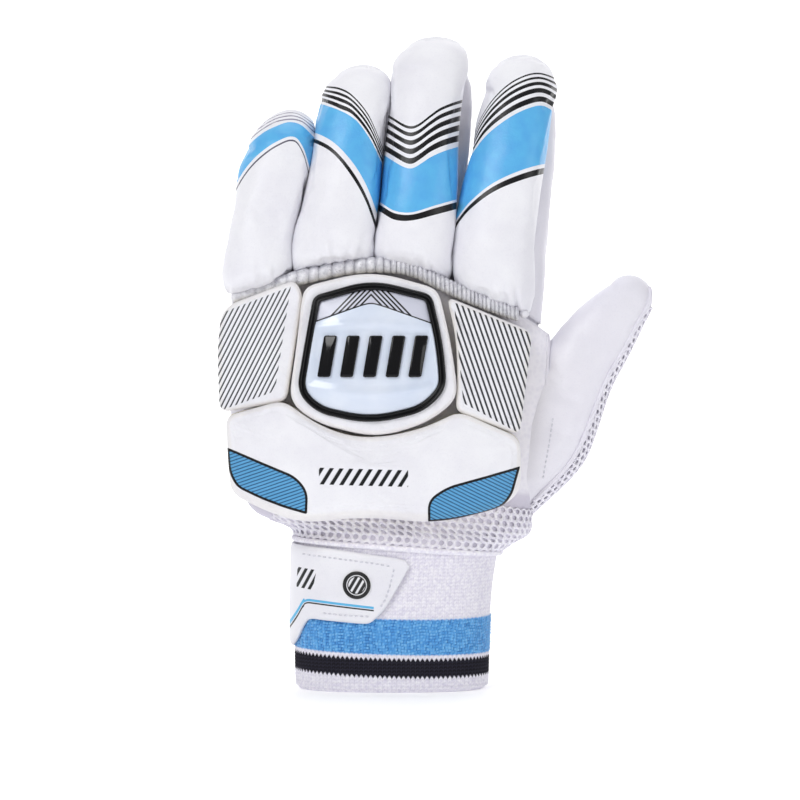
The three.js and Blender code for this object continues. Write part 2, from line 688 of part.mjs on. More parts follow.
const leather = finish("white", 0.5);
const knit = finish("white", 0.95);
const mesh = finish("white", 0.9);
const gloss = finish("pale", 0.15);
const rubber = finish("black", 0.25);

const handOuter = handForm(0, 0);
const handRoom = handForm(CLOTH_WALL, CUT_PAST);
const thumbOuter = thumbForm(0);
const thumbRoom = thumbForm(CLOTH_WALL);
const handWall = handOuter.subtract(handRoom).subtract(thumbRoom);
const thumbWall = thumbOuter.subtract(thumbRoom).subtract(handForm(-SEAM_GAP, CUT_CLEAR));
const palmSide = behind((z) => handSplitY(z) + SEAM_GAP / 2, handSlices);
const backSide = behind((z) => handSplitY(z) - SEAM_GAP / 2, handSlices);
const thumbPalmSide = behind((z) => thumbSplitY(z) + SEAM_GAP / 2, thumbSlices);
const thumbBackSide = behind((z) => thumbSplitY(z) - SEAM_GAP / 2, thumbSlices);

add("knit_cuff", knitCuff(), knit);
add("wrist_strap", wristStrap(), leather);
add("strap_badge", strapBadge(), rubber);
add("back_mesh", handWall.subtract(backSide), mesh);
add("palm_leather", handWall.intersect(palmSide), leather);
add("thumb_leather", thumbWall.subtract(thumbBackSide), leather);
add("thumb_mesh", thumbWall.intersect(thumbPalmSide), mesh);
fingers.forEach((finger, i) => {
  add(`${finger.name}_stall`, fingerStall(finger, fingers[i + 1]), leather);
  add(`${finger.name}_roll`, fingerRoll(finger), leather);
});
add("knuckle_strip", knuckleStrip(), finish("silver", 0.4));
add("left_pad", plate(outlineOf(LEFT_PAD_CORNERS), padSeat, SIDE_PAD_THICKNESS, PAD_BEVEL), leather);
add("right_pad", plate(outlineOf(RIGHT_PAD_CORNERS), padSeat, SIDE_PAD_THICKNESS, PAD_BEVEL), leather);
add("wrist_pad", plate(outlineOf(WRIST_PAD_CORNERS), padSeat, WRIST_PAD_THICKNESS, PAD_BEVEL), leather);
add("shield_pad", plate(shieldOutline, padSeat, SHIELD_THICKNESS, PAD_BEVEL), leather);
add("shield_ring", shieldRing(), rubber);
add("shield_dome", plate(domeOutline, shieldFace, DOME_HEIGHT, DOME_HEIGHT * 0.6, DOME_CROWN), gloss);

const overall = new THREE.Box3().setFromObject(glove, true);
const middle = overall.getCenter(new THREE.Vector3());
glove.position.set(-middle.x, -middle.y, -overall.min.z);

export default glove;
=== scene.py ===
# The looks of a left-hand cricket batting glove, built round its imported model.
# Lengths are millimetres measured from the middle of the cuff's lower edge, and become metres in the
# model's frame where a mesh is made. Pixel places are read off the 800 by 800 photograph.
import math
import bpy
import numpy as np
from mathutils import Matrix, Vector
from mathutils.bvhtree import BVHTree


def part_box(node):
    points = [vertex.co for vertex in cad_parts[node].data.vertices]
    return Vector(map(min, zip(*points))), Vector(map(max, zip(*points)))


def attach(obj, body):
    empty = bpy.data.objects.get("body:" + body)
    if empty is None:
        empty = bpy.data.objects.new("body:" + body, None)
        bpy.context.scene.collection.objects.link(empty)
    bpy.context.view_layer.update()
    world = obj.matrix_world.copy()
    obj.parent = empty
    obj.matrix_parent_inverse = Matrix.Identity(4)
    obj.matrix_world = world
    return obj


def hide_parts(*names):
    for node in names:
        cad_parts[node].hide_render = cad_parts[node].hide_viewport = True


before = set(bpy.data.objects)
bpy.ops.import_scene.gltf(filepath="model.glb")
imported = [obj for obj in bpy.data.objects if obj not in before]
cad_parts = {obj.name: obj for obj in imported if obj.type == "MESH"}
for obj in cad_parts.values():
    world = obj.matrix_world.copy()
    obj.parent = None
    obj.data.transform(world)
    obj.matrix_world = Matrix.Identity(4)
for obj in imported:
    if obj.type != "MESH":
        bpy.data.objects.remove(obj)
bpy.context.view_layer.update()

MM = 0.001

# The photograph's scale, and where the middle of the cuff's lower edge shows in it
PIXEL = 0.435
MIDDLE_X = 392
FLOOR_Y = 692

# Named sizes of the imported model
GAP = 0.6
CUFF_WIDTH = 85
CUFF_DEPTH = 54
CUFF_HEIGHT = 62
CUFF_SEAM_SLANT = 0.07
KNIT_WALL = 3.0
HALF_HAND = 71
HAND_HEIGHT = 124
HAND_DEPTH = 54
HAND_OFFSET = -4.6
HAND_LEAN = 0.08
KNUCKLE_DROP = 23.5
KNUCKLE_TOP_X = -12
KNUCKLE_TOP_Z = CUFF_HEIGHT + HAND_HEIGHT
POWER = 2.5
FINGER_LENGTH = 102
STALL_DEPTH = 26
ROLL_DEPTH = 22
FINGER_CURL = 17
STRIP_HEIGHT = 4.2
STRIP_DEPTH = 9
SIDE_PAD_THICKNESS = 13
WRIST_PAD_THICKNESS = 15
SHIELD_THICKNESS = 15
PAD_BRIDGE = 1.5

# Middle of the silver strip
STRIP_LINE = [
    (233, 299), (261, 291), (283, 283.5), (302, 279), (319, 275), (343, 270), (371, 267), (392, 267.5),
    (412, 271), (430, 279.5), (447, 288), (470, 298), (490, 306), (513, 314),
]

# Where the cuff's middle lies in the model's frame
cuff_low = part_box("knit_cuff")[0]
SHIFT = np.array([cuff_low.x / MM + CUFF_WIDTH / 2, cuff_low.y / MM + CUFF_DEPTH / 2, 0.0])


def at_pixel(px, py):
    return np.array([(px - MIDDLE_X) * PIXEL, (FLOOR_Y - py) * PIXEL])


def pixels(points):
    """Places (x, z) in millimetres of a list of pixel places."""
    return np.array([at_pixel(p[0], p[1]) for p in points])


def along_table(rows, at):
    """Smooth values at a place along a table whose rows begin with a rising place."""
    table = np.array(rows, float)
    places, values = table[:, 0], table[:, 1:]
    at = np.clip(np.asarray(at, float), places[0], places[-1])
    i = np.clip(np.searchsorted(places, at, side="right") - 1, 0, len(places) - 2)
    before, after = np.maximum(i - 1, 0), np.minimum(i + 2, len(places) - 1)
    span = (places[i + 1] - places[i])[..., None]
    slope_a = (values[i + 1] - values[before]) / (places[i + 1] - places[before])[..., None]
    slope_b = (values[after] - values[i]) / (places[after] - places[i])[..., None]
    t = (at - places[i])[..., None] / span
    return (
        (2 * t**3 - 3 * t**2 + 1) * values[i]
        + (t**3 - 2 * t**2 + t) * span * slope_a
        + (3 * t**2 - 2 * t**3) * values[i + 1]
        + (t**3 - t**2) * span * slope_b
    )


def lengths_along(places):
    """How far along a line each of its places lies."""
    return np.concatenate([[0], np.cumsum(np.linalg.norm(np.diff(places, axis=0), axis=1))])


def along_line(points, x):
    """Height of a smooth line through pixel places, carried on straight past its ends."""
    line = pixels(points)
    inside = along_table([(px, pz) for px, pz in line], x)[..., 0]
    for end, inner in ((0, 1), (-1, -2)):
        slope = (line[end, 1] - line[inner, 1]) / (line[end, 0] - line[inner, 0])
        past = x < line[0, 0] if end == 0 else x > line[-1, 0]
        inside = np.where(past, line[end, 1] + slope * (x - line[end, 0]), inside)
    return inside


def squircle(angle, power):
    c, s = np.cos(angle), np.sin(angle)
    share = 2 / power
    return np.sign(c) * np.abs(c) ** share, np.sign(s) * np.abs(s) ** share


def step(low, high, x):
    t = np.clip((x - low) / (high - low), 0, 1)
    return t * t * (3 - 2 * t)


def bell(x, width):
    return np.exp(-((x / width) ** 2))


def waves(points, size, seed, octaves=3):
    """Smooth seeded noise at an array of points, about -1 to 1, with features of a size in millimetres."""
    draw = np.random.default_rng(seed)
    total = np.zeros(len(points))
    for octave in range(octaves):
        for _ in range(5):
            direction = draw.normal(size=3)
            direction *= 2 * math.pi / (size / 1.9**octave) / np.linalg.norm(direction)
            total += np.sin(points @ direction + draw.uniform(0, 6.28)) * 0.55**octave / 3
    return total


# The hand's surfaces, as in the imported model
# Hand: share of the height, left and right edges of half the width, front and back of the depth
HAND_SECTIONS = [
    (0.0, -0.53, 0.715, -0.5, 0.5),
    (0.045, -0.56, 0.8, -0.475, 0.51),
    (0.09, -0.76, 0.9, -0.462, 0.52),
    (0.16, -0.84, 0.925, -0.462, 0.52),
    (0.35, -0.91, 0.97, -0.46, 0.5),
    (0.58, -0.93, 1.04, -0.43, 0.41),
    (0.8, -0.93, 1.065, -0.39, 0.29),
    (1.0, -0.92, 1.035, -0.34, 0.22),
]
# Cuff: share of the height, left and right edges of half the width, depth
CUFF_SECTIONS = [
    (0.0, -0.965, 0.95, 0.95),
    (0.03, -0.99, 0.985, 0.985),
    (0.3, -1.0, 1.0, 1.0),
    (0.7, -1.0, 1.03, 1.0),
    (1.0, -0.99, 1.09, 1.0),
]


def seam_z(x):
    return CUFF_HEIGHT - CUFF_SEAM_SLANT * x


def knuckle_z(x):
    return KNUCKLE_TOP_Z - KNUCKLE_DROP * ((x - KNUCKLE_TOP_X) / HALF_HAND) ** 2


def strip_z(x):
    """Height of the middle of the silver strip, read off the photograph."""
    return along_line(STRIP_LINE, x)


def lean_y(z):
    return HAND_LEAN * np.maximum(0, z - CUFF_HEIGHT)


def hand_section(up):
    left, right, front, back = np.moveaxis(along_table(HAND_SECTIONS, up), -1, 0)
    return (
        HAND_OFFSET + left * HALF_HAND,
        HAND_OFFSET + right * HALF_HAND,
        front * HAND_DEPTH,
        back * HAND_DEPTH,
    )


def hand_point(angle, up, away=0.0):
    """Points on the hand's skin at angles round it and shares of its height, moved outwards."""
    left, right, front, back = hand_section(up)
    c, s = squircle(angle, POWER)
    x = (left + right) / 2 + c * ((right - left) / 2 + away)
    z = seam_z(x) + up * (knuckle_z(x) - seam_z(x))
    y = (front + back) / 2 + s * ((back - front) / 2 + away) + lean_y(z)
    return np.stack([x, y, z], axis=-1)


def dorsal_y(x, z):
    """Y of the back of the hand, where the pads are seated, carried on past its rounded edges."""
    up = np.clip((z - seam_z(x)) / (knuckle_z(x) - seam_z(x)), 0.16, 1)
    left, right, front, back = hand_section(up)
    u = (x - (left + right) / 2) / ((right - left) / 2)
    inner = np.clip(u, -0.9, 0.9)
    deep = (back - front) / 2
    arch = (1 - np.abs(inner) ** POWER) ** (1 / POWER)
    beyond = np.abs(u - inner) * deep * 0.9 - PAD_BRIDGE * np.abs(inner) ** 3
    return (front + back) / 2 - deep * arch + beyond + lean_y(z)


def seat_y(x, z):
    return dorsal_y(x, z) - GAP


def finger_y(rise):
    back = 0.22 * HAND_DEPTH - STALL_DEPTH / 2
    return back + lean_y(KNUCKLE_TOP_Z + rise) + FINGER_CURL * (rise / FINGER_LENGTH) ** 2


def cuff_point(angle, z, away=0.0):
    """Points on the cuff's outside at angles round it and heights, moved outwards."""
    left, right, deep = np.moveaxis(along_table(CUFF_SECTIONS, z / CUFF_HEIGHT), -1, 0)
    c, s = squircle(angle, POWER)
    x = (left + right) * CUFF_WIDTH / 4 + c * ((right - left) * CUFF_WIDTH / 4 + away)
    y = s * (deep * CUFF_DEPTH / 2 + away)
    return np.stack([x, y, z + 0 * x], axis=-1)


# Meshes
def mesh_of(name, points, faces, material):
    mesh = bpy.data.meshes.new(name)
    mesh.from_pydata(((np.asarray(points, float) + SHIFT) * MM).tolist(), [], faces)
    mesh.polygons.foreach_set("use_smooth", [True] * len(mesh.polygons))
    mesh.materials.append(material)
    mesh.update()
    return mesh


def piece(name, points, faces, material, replaces=()):
    """A shown piece of the glove from points in millimetres."""
    made = bpy.data.objects.new(name, mesh_of(name, points, faces, material))
    bpy.context.scene.collection.objects.link(made)
    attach(made, "root")
    if replaces:
        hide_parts(*replaces)
    return made


def points_of(made):
    co = np.zeros(len(made.data.vertices) * 3)
    made.data.vertices.foreach_get("co", co)
    return co.reshape(-1, 3) / MM - SHIFT


def move_points(made, points):
    made.data.vertices.foreach_set("co", ((points + SHIFT) * MM).ravel())
    made.data.update()


def normals_of(made):
    normals = np.zeros(len(made.data.vertices) * 3)
    made.data.vertices.foreach_get("normal", normals)
    return normals.reshape(-1, 3)


def mark(made, name, values):
    """A number for each point, which the material reads."""
    attribute = made.data.attributes.new(name, "FLOAT", "POINT")
    attribute.data.foreach_set("value", np.asarray(values, np.float32))


def loft(rings):
    """Points and faces of a skin through rings (ring, point, xyz), with a middle point at each end."""
    rings = np.asarray(rings, float)
    count, around = rings.shape[:2]
    points = np.vstack([rings.reshape(-1, 3), rings[0].mean(axis=0), rings[-1].mean(axis=0)])
    faces = net_faces(count, around, join_across=True)
    last = (count - 1) * around
    faces += [(count * around, (i + 1) % around, i) for i in range(around)]
    faces += [(count * around + 1, last + i, last + (i + 1) % around) for i in range(around)]
    return points, outwards(points, faces)


def net_faces(rows, across, join_rows=False, join_across=False):
    """Faces of a net of rows by points across, which may join at its ends either way."""
    faces = []
    for k in range(rows if join_rows else rows - 1):
        for i in range(across if join_across else across - 1):
            row, ahead, j = k * across, (k + 1) % rows * across, (i + 1) % across
            faces.append((row + i, row + j, ahead + j, ahead + i))
    return faces


def outwards(points, faces):
    """The faces, turned round if they enclose a negative volume."""
    triangles = np.array([f[:3] for f in faces] + [(f[0], f[2], f[3]) for f in faces if len(f) == 4])
    a, b, c = (points[triangles[:, k]] for k in range(3))
    volume = np.einsum("ij,ij->", a, np.cross(b, c))
    return [tuple(reversed(f)) for f in faces] if volume < 0 else faces


def between_points(values, around):
    """A grid with smooth new values halfway between its rows. Around joins its last row to its first."""
    if around:
        before, ahead, far = np.roll(values, 1, 0), np.roll(values, -1, 0), np.roll(values, -2, 0)
        middle = (9 * (values + ahead) - before - far) / 16
        return np.stack([values, middle], axis=1).reshape(-1, *values.shape[1:])
    ends = np.concatenate([[2 * values[0] - values[1]], values, [2 * values[-1] - values[-2]]])
    middle = (9 * (values[:-1] + values[1:]) - ends[:-3] - ends[3:]) / 16
    joined = np.stack([values[:-1], middle], axis=1).reshape(-1, *values.shape[1:])
    return np.concatenate([joined, values[-1:]])


def refine(made, around, extra=None):
    """Rebuilds a lofted piece with twice the rings and points, and returns extra values made as fine."""
    old = points_of(made)
    count = (len(old) - 2) // around
    rings = old[: count * around].reshape(count, around, 3)
    if extra is not None:
        rings = np.concatenate([rings, extra.reshape(count, around, -1)], axis=2)
    fine = between_points(rings, around=False)
    fine = np.swapaxes(between_points(np.swapaxes(fine, 0, 1), around=True), 0, 1)
    points, faces = loft(fine[:, :, :3])
    points[-2:] = old[-2:]
    material = made.data.materials[0]
    spent = made.data
    made.data = mesh_of(made.name, points, faces, material)
    bpy.data.meshes.remove(spent)
    return None if extra is None else fine[:, :, 3:].reshape(-1, fine.shape[2] - 3)


def apply_modifiers(made):
    graph = bpy.context.evaluated_depsgraph_get()
    graph.update()
    mesh = bpy.data.meshes.new_from_object(made.evaluated_get(graph), depsgraph=graph)
    made.modifiers.clear()
    spent = made.data
    made.data = mesh
    bpy.data.meshes.remove(spent)
    mesh.polygons.foreach_set("use_smooth", [True] * len(mesh.polygons))


def stuff(made, held, pressure=4.0, slack=0.02, cap=2.0, frames=20):
    """Fills the piece's leather like a pad: cloth under pressure, with the held points sewn down."""
    before = points_of(made)
    group = made.vertex_groups.new(name="sewn")
    group.add([int(i) for i in np.flatnonzero(held)], 1.0, "REPLACE")
    modifier = made.modifiers.new("leather", "CLOTH")
    settings = modifier.settings
    settings.vertex_group_mass = "sewn"
    settings.use_pressure = True
    settings.uniform_pressure_force = pressure
    settings.effector_weights.gravity = 0
    settings.shrink_min = -slack
    settings.quality = 5
    settings.bending_stiffness = 2.0
    modifier.collision_settings.use_collision = False
    modifier.point_cache.frame_start = 1
    modifier.point_cache.frame_end = frames
    scene = bpy.context.scene
    for number in range(1, frames + 1):
        scene.frame_set(number)
    graph = bpy.context.evaluated_depsgraph_get()
    shaped = made.evaluated_get(graph)
    after = np.zeros(len(shaped.data.vertices) * 3)
    shaped.data.vertices.foreach_get("co", after)
    after = after.reshape(-1, 3) / MM - SHIFT
    made.modifiers.clear()
    made.vertex_groups.clear()
    scene.frame_set(1)
    moved = after - before
    length = np.linalg.norm(moved, axis=1)[:, None]
    move_points(made, before + moved * np.minimum(1, cap / np.maximum(length, 1e-9)))


# Materials
class Graph:
    """A material's nodes, with a short call for each kind that is used."""

    def __init__(self, name, roughness=0.5, **sockets):
        self.material = bpy.data.materials.new(name)
        self.material.use_nodes = True
        self.tree = self.material.node_tree
        self.shader = self.tree.nodes["Principled BSDF"]
        self.shader.inputs["Roughness"].default_value = roughness
        for key, value in sockets.items():
            self.shader.inputs[key.replace("_", " ")].default_value = value
        self.place = self.node("ShaderNodeTexCoord").outputs["Object"]

    def node(self, kind, **settings):
        made = self.tree.nodes.new(kind)
        for key, value in settings.items():
            setattr(made, key, value)
        return made

    def put(self, socket, value):
        if isinstance(value, bpy.types.NodeSocket):
            self.tree.links.new(value, socket)
        else:
            socket.default_value = value

    def math(self, operation, *values):
        made = self.node("ShaderNodeMath", operation=operation)
        for socket, value in zip(made.inputs, values):
            self.put(socket, value)
        return made.outputs[0]

    def times(self, a, b):
        return self.math("MULTIPLY", a, b)

    def plus(self, a, b):
        return self.math("ADD", a, b)

    def minus(self, a, b):
        return self.math("SUBTRACT", a, b)

    def over(self, a, b):
        return self.math("DIVIDE", a, b)

    def mix(self, share, a, b, blend="MIX"):
        made = self.node("ShaderNodeMix", data_type="RGBA", blend_type=blend)
        for socket, value in ((0, share), (6, a), (7, b)):
            self.put(made.inputs[socket], value)
        return made.outputs[2]

    def mark(self, name):
        return self.node("ShaderNodeAttribute", attribute_name=name).outputs["Fac"]

    def noise(self, size, detail=2.0, stretch=None, roughness=0.5):
        """Noise with features of a size in millimetres."""
        made = self.node("ShaderNodeTexNoise")
        made.inputs["Scale"].default_value = 1 / (size * MM)
        made.inputs["Detail"].default_value = detail
        made.inputs["Roughness"].default_value = roughness
        self.put(made.inputs["Vector"], self.stretched(stretch) if stretch else self.place)
        return made.outputs["Fac"]

    def cells(self, size, feature="SMOOTH_F1"):
        made = self.node("ShaderNodeTexVoronoi", feature=feature)
        made.inputs["Scale"].default_value = 1 / (size * MM)
        self.put(made.inputs["Vector"], self.place)
        return made.outputs["Distance"]

    def stretched(self, scale):
        made = self.node("ShaderNodeMapping")
        made.inputs["Scale"].default_value = scale
        self.put(made.inputs["Vector"], self.place)
        return made.outputs["Vector"]

    def ramp(self, value, stops, interpolation="LINEAR"):
        """Colour at a value, from stops (place, colour)."""
        made = self.node("ShaderNodeValToRGB")
        made.color_ramp.interpolation = interpolation
        elements = made.color_ramp.elements
        elements[0].position, elements[0].color = stops[0]
        elements[1].position, elements[1].color = stops[-1]
        for place, colour in stops[1:-1]:
            elements.new(place).color = colour
        self.put(made.inputs[0], value)
        return made.outputs["Color"]

    def between(self, value, low, high, soft):
        """1 where the value lies between two limits, with soft edges."""
        return self.times(self.above(value, low, soft), self.above(value, high, soft, fall=True))

    def above(self, value, limit, soft, fall=False):
        """1 above a limit with a soft edge, or 1 below it where it falls."""
        made = self.node("ShaderNodeMapRange", interpolation_type="SMOOTHSTEP")
        ends = (1, 0) if fall else (0, 1)
        self.put(made.inputs["Value"], value)
        limits = (limit - soft, limit + soft, *ends)
        for socket, number in zip(("From Min", "From Max", "To Min", "To Max"), limits):
            made.inputs[socket].default_value = number
        return made.outputs[0]

    def stripes(self, value, width, soft=0.06):
        """1 on stripes that take a share of each whole step of the value."""
        part = self.math("FRACT", value)
        return self.between(part, 0.5 - width / 2, 0.5 + width / 2, soft)

    def colour(self, value):
        self.put(self.shader.inputs["Base Color"], value)

    def rough(self, value):
        self.put(self.shader.inputs["Roughness"], value)

    def bump(self, height, distance, strength=1.0, under=None):
        """Bump of a depth in millimetres over another one, if given."""
        made = self.node("ShaderNodeBump")
        made.inputs["Strength"].default_value = strength
        made.inputs["Distance"].default_value = distance * MM
        self.put(made.inputs["Height"], height)
        if under is not None:
            self.put(made.inputs["Normal"], under)
        self.put(self.shader.inputs["Normal"], made.outputs[0])
        return made.outputs[0]


def rgb(red, green, blue):
    """A colour of the screen, 0 to 255, as linear light."""
    def linear(v):
        v /= 255
        return v / 12.92 if v <= 0.04045 else ((v + 0.055) / 1.055) ** 2.4
    return (linear(red), linear(green), linear(blue), 1.0)


WHITE = rgb(238, 238, 243)
SHADE = rgb(214, 212, 224)
CREAM = rgb(233, 226, 208)
BLUE = rgb(92, 178, 232)
PATCH_BLUE = rgb(90, 162, 212)
PATCH_SHADE = rgb(36, 80, 118)
HATCH_INK = rgb(26, 27, 36)
EDGE_TINT = rgb(250, 246, 238)
BLACK = rgb(9, 9, 13)
GREY_VIOLET = rgb(128, 124, 146)
CLEAR = (0.0, 0.0, 0.0, 0.0)


def leather_grain(g, depth=0.035, size=0.9, ridges=None):
    """Fine pebbled grain with pores over soft shallow wrinkles and, where given, a printed relief."""
    pebbles = g.times(g.cells(size), 0.8)
    fine = g.noise(0.35, detail=3)
    height = g.plus(pebbles, g.times(fine, 0.5))
    under = g.bump(g.noise(9, detail=3, roughness=0.6), 0.5, strength=0.35)
    if ridges is not None:
        under = g.bump(ridges, 0.18, under=under)
    g.bump(height, depth * 2.4, under=under)


def leather_base(g, tone=WHITE):
    """White leather, a little darker and warmer in soft patches and in the pores."""
    patches = g.ramp(g.noise(22, detail=4, roughness=0.6), [(0.3, SHADE), (0.62, tone)])
    soft = g.mix(0.35, tone, patches)
    pores = g.ramp(g.cells(0.9), [(0.0, (0.93, 0.93, 0.95, 1)), (0.35, (1, 1, 1, 1))])
    g.rough(g.ramp(g.noise(6, detail=3), [(0.3, (0.36,) * 3 + (1,)), (0.7, (0.5,) * 3 + (1,))]))
    return g.mix(0.6, soft, pores, blend="MULTIPLY")


def plain_leather(name="white_leather", tone=WHITE):
    g = Graph(name)
    g.shader.inputs["Sheen Weight"].default_value = 0.08
    g.colour(leather_base(g, tone))
    leather_grain(g)
    return g.material


# Finger rolls. Rows: pixel height, left edge and right edge; the dome begins at the last. Then the tip.
ROLLS = {
    "little": {
        "rows": [
            (293, 228, 288), (270, 223, 291), (239, 228, 292), (202, 234, 302), (171, 238.5, 310),
            (149, 248, 314),
        ],
        "tip": (291, 110.5),
    },
    "ring": {
        "rows": [
            (266, 293, 374.5), (239, 291, 376), (201, 300.5, 381.5), (160, 309, 385), (127, 314, 388.5),
            (101, 320.5, 391),
        ],
        "tip": (364, 65),
    },
    "middle": {
        "rows": [
            (276, 375.5, 450), (255, 373.5, 452.5), (216, 376, 458), (188, 379, 460), (146, 383, 461),
            (118, 386, 463), (72, 392, 469),
        ],
        "tip": (438, 36),
    },
    "index": {
        "rows": [
            (294, 455, 531), (270, 453.5, 534), (239, 455, 537), (216, 458, 540), (188, 463, 544),
            (155, 470, 549.5), (122, 477, 554), (92, 486, 558),
        ],
        "tip": (524, 54),
    },
}
# Roll: share of the height, and its depth
ROLL_DEEP = [(0.0, 0.9), (0.2, 1.0), (0.4, 0.99), (0.6, 0.96), (0.8, 0.9), (1.0, 0.86)]
ROLL_LIFT = STRIP_HEIGHT / 2 - 0.5
ROLL_FOOT = 8.0  # height of the rounded lower end
SEWN_REACH = 2.5  # how deep the leather is sewn down along a roll's back
# Prints. Each has the pixel places of its lower and its upper edge, and stops (share of the way up, colour).
PRINTS = {
    "little": {
        "band": {
            "low": [
                (228, 212), (234, 197), (246, 177), (260, 161.5), (279, 148), (295, 144), (304, 158),
                (310, 182),
            ],
            "high": [
                (228, 182), (234, 168), (246, 150), (263, 135), (279, 127), (290, 124), (301, 127),
                (314, 139),
            ],
            "stops": [(0.0, rgb(84, 82, 98)), (0.08, CLEAR), (0.24, BLUE), (1.0, CLEAR)],
        },
        "arcs": {
            "low": [(236, 163), (246, 148), (263, 133.5), (279, 125.5), (301, 125.5), (314, 137)],
            "high": [(236, 150), (246, 137), (263, 122), (279, 114.5), (295, 113), (314, 124)],
            "stops": [(0.0, CLEAR), (0.2, GREY_VIOLET), (0.32, CLEAR), (0.52, GREY_VIOLET), (0.62, CLEAR),
                      (0.82, GREY_VIOLET), (0.9, CLEAR), (1.0, CLEAR)],
        },
    },
    "ring": {
        "band": {
            "low": [(308, 143), (314, 144.5), (333, 155.5), (351, 177), (366, 203.5), (376, 232), (384, 262)],
            "high": [(308, 103), (322, 106), (354, 121), (371, 143), (382, 166), (390, 184)],
            "stops": [(0.0, BLACK), (0.1, CLEAR), (0.25, BLUE), (1.0, CLEAR)],
        },
        "arcs": {
            "low": [(312, 101), (326, 105.5), (340, 112), (354, 119), (371, 141), (382, 164), (390, 182)],
            "high": [(312, 82), (326, 86.5), (340, 89), (352, 96), (368, 115), (378, 137), (390, 168)],
            "stops": [(0.0, CLEAR), (0.05, BLACK), (0.24, CLEAR), (0.36, BLACK), (0.52, CLEAR), (0.63, BLACK),
                      (0.75, CLEAR), (0.87, BLACK), (0.96, CLEAR)],
        },
    },
    "middle": {
        "band": {
            "low": [(374, 210), (381, 214), (394, 221.5), (411, 222.5), (436, 216.5), (462, 209.5)],
            "high": [
                (374, 150), (386, 158.5), (399, 167), (407, 170.5), (413, 170.5), (421, 166), (430, 160),
                (443, 154), (464, 147),
            ],
            "stops": [(0.0, BLACK), (0.11, CLEAR), (0.155, BLUE), (1.0, CLEAR)],
        },
        "arcs": {
            "low": [
                (378, 150), (388, 156.5), (400, 164), (407, 167.5), (413, 167.5), (421, 162.5), (430, 156),
                (443, 150), (466, 143),
            ],
            "high": [
                (378, 109), (389, 117), (400, 124.5), (407, 128), (413, 128.5), (420, 125.5), (429, 118.5),
                (441, 110), (466, 100),
            ],
            "stops": [(0.0, CLEAR), (0.04, BLACK), (0.19, CLEAR), (0.29, BLACK), (0.43, CLEAR), (0.52, BLACK),
                      (0.64, CLEAR), (0.74, BLACK), (0.84, CLEAR), (0.93, BLACK), (1.0, CLEAR)],
        },
    },
    "index": {
        "band": {
            "low": [(452, 236), (459, 224), (470, 211), (492, 194.5), (520, 182.5), (552, 173.5)],
            "high": [(462, 172), (470, 159), (485, 139), (506, 122), (527, 111), (544, 108), (562, 119)],
            "stops": [(0.0, BLACK), (0.085, CLEAR), (0.14, BLUE), (1.0, CLEAR)],
        },
        "arcs": {
            "low": [(464, 168), (471, 156), (485, 136), (506, 119), (527, 108.5), (544, 105.5), (562, 116)],
            "high": [(464, 160), (471, 145), (480, 121), (495, 98), (515, 81), (538, 73.5), (562, 80)],
            "stops": [(0.0, CLEAR), (0.05, BLACK), (0.22, CLEAR), (0.34, BLACK), (0.49, CLEAR), (0.58, BLACK),
                      (0.69, CLEAR), (0.78, BLACK), (0.85, CLEAR), (0.93, BLACK), (0.985, CLEAR)],
        },
    },
}
PRINT_MARGIN = 0.05  # share of the ramp kept clear below and above a print


def print_share(shape, points):
    low = along_line(shape["low"], points[:, 0])
    high = along_line(shape["high"], points[:, 0])
    share = (points[:, 2] - low) / np.maximum(high - low, 0.4)
    return PRINT_MARGIN + (1 - 2 * PRINT_MARGIN) * np.clip(share, -0.05, 1.05)


def print_stops(stops):
    scaled = [(PRINT_MARGIN + (1 - 2 * PRINT_MARGIN) * place, colour) for place, colour in stops]
    return [(0.0, CLEAR), *scaled, (1.0, CLEAR)]


def printed_leather(name, prints):
    """White leather with glossy printed bands, from the shares that are marked on its points."""
    g = Graph(name, Specular_IOR_Level=0.3)
    tone = leather_base(g)
    rough = 0.42
    for key, shape in prints.items():
        ink = g.ramp(g.mark(key), print_stops(shape["stops"]), "CONSTANT")
        cover = ink.node.outputs["Alpha"]
        clouds = g.ramp(g.noise(5), [(0.3, BLACK), (0.7, WHITE)])
        tone = g.mix(g.times(cover, 0.995), tone, g.mix(0.08, ink, clouds, "OVERLAY"))
        rough = g.minus(rough, g.times(cover, 0.14))
    g.colour(tone)
    g.rough(rough)
    leather_grain(g, depth=0.028)
    return g.material


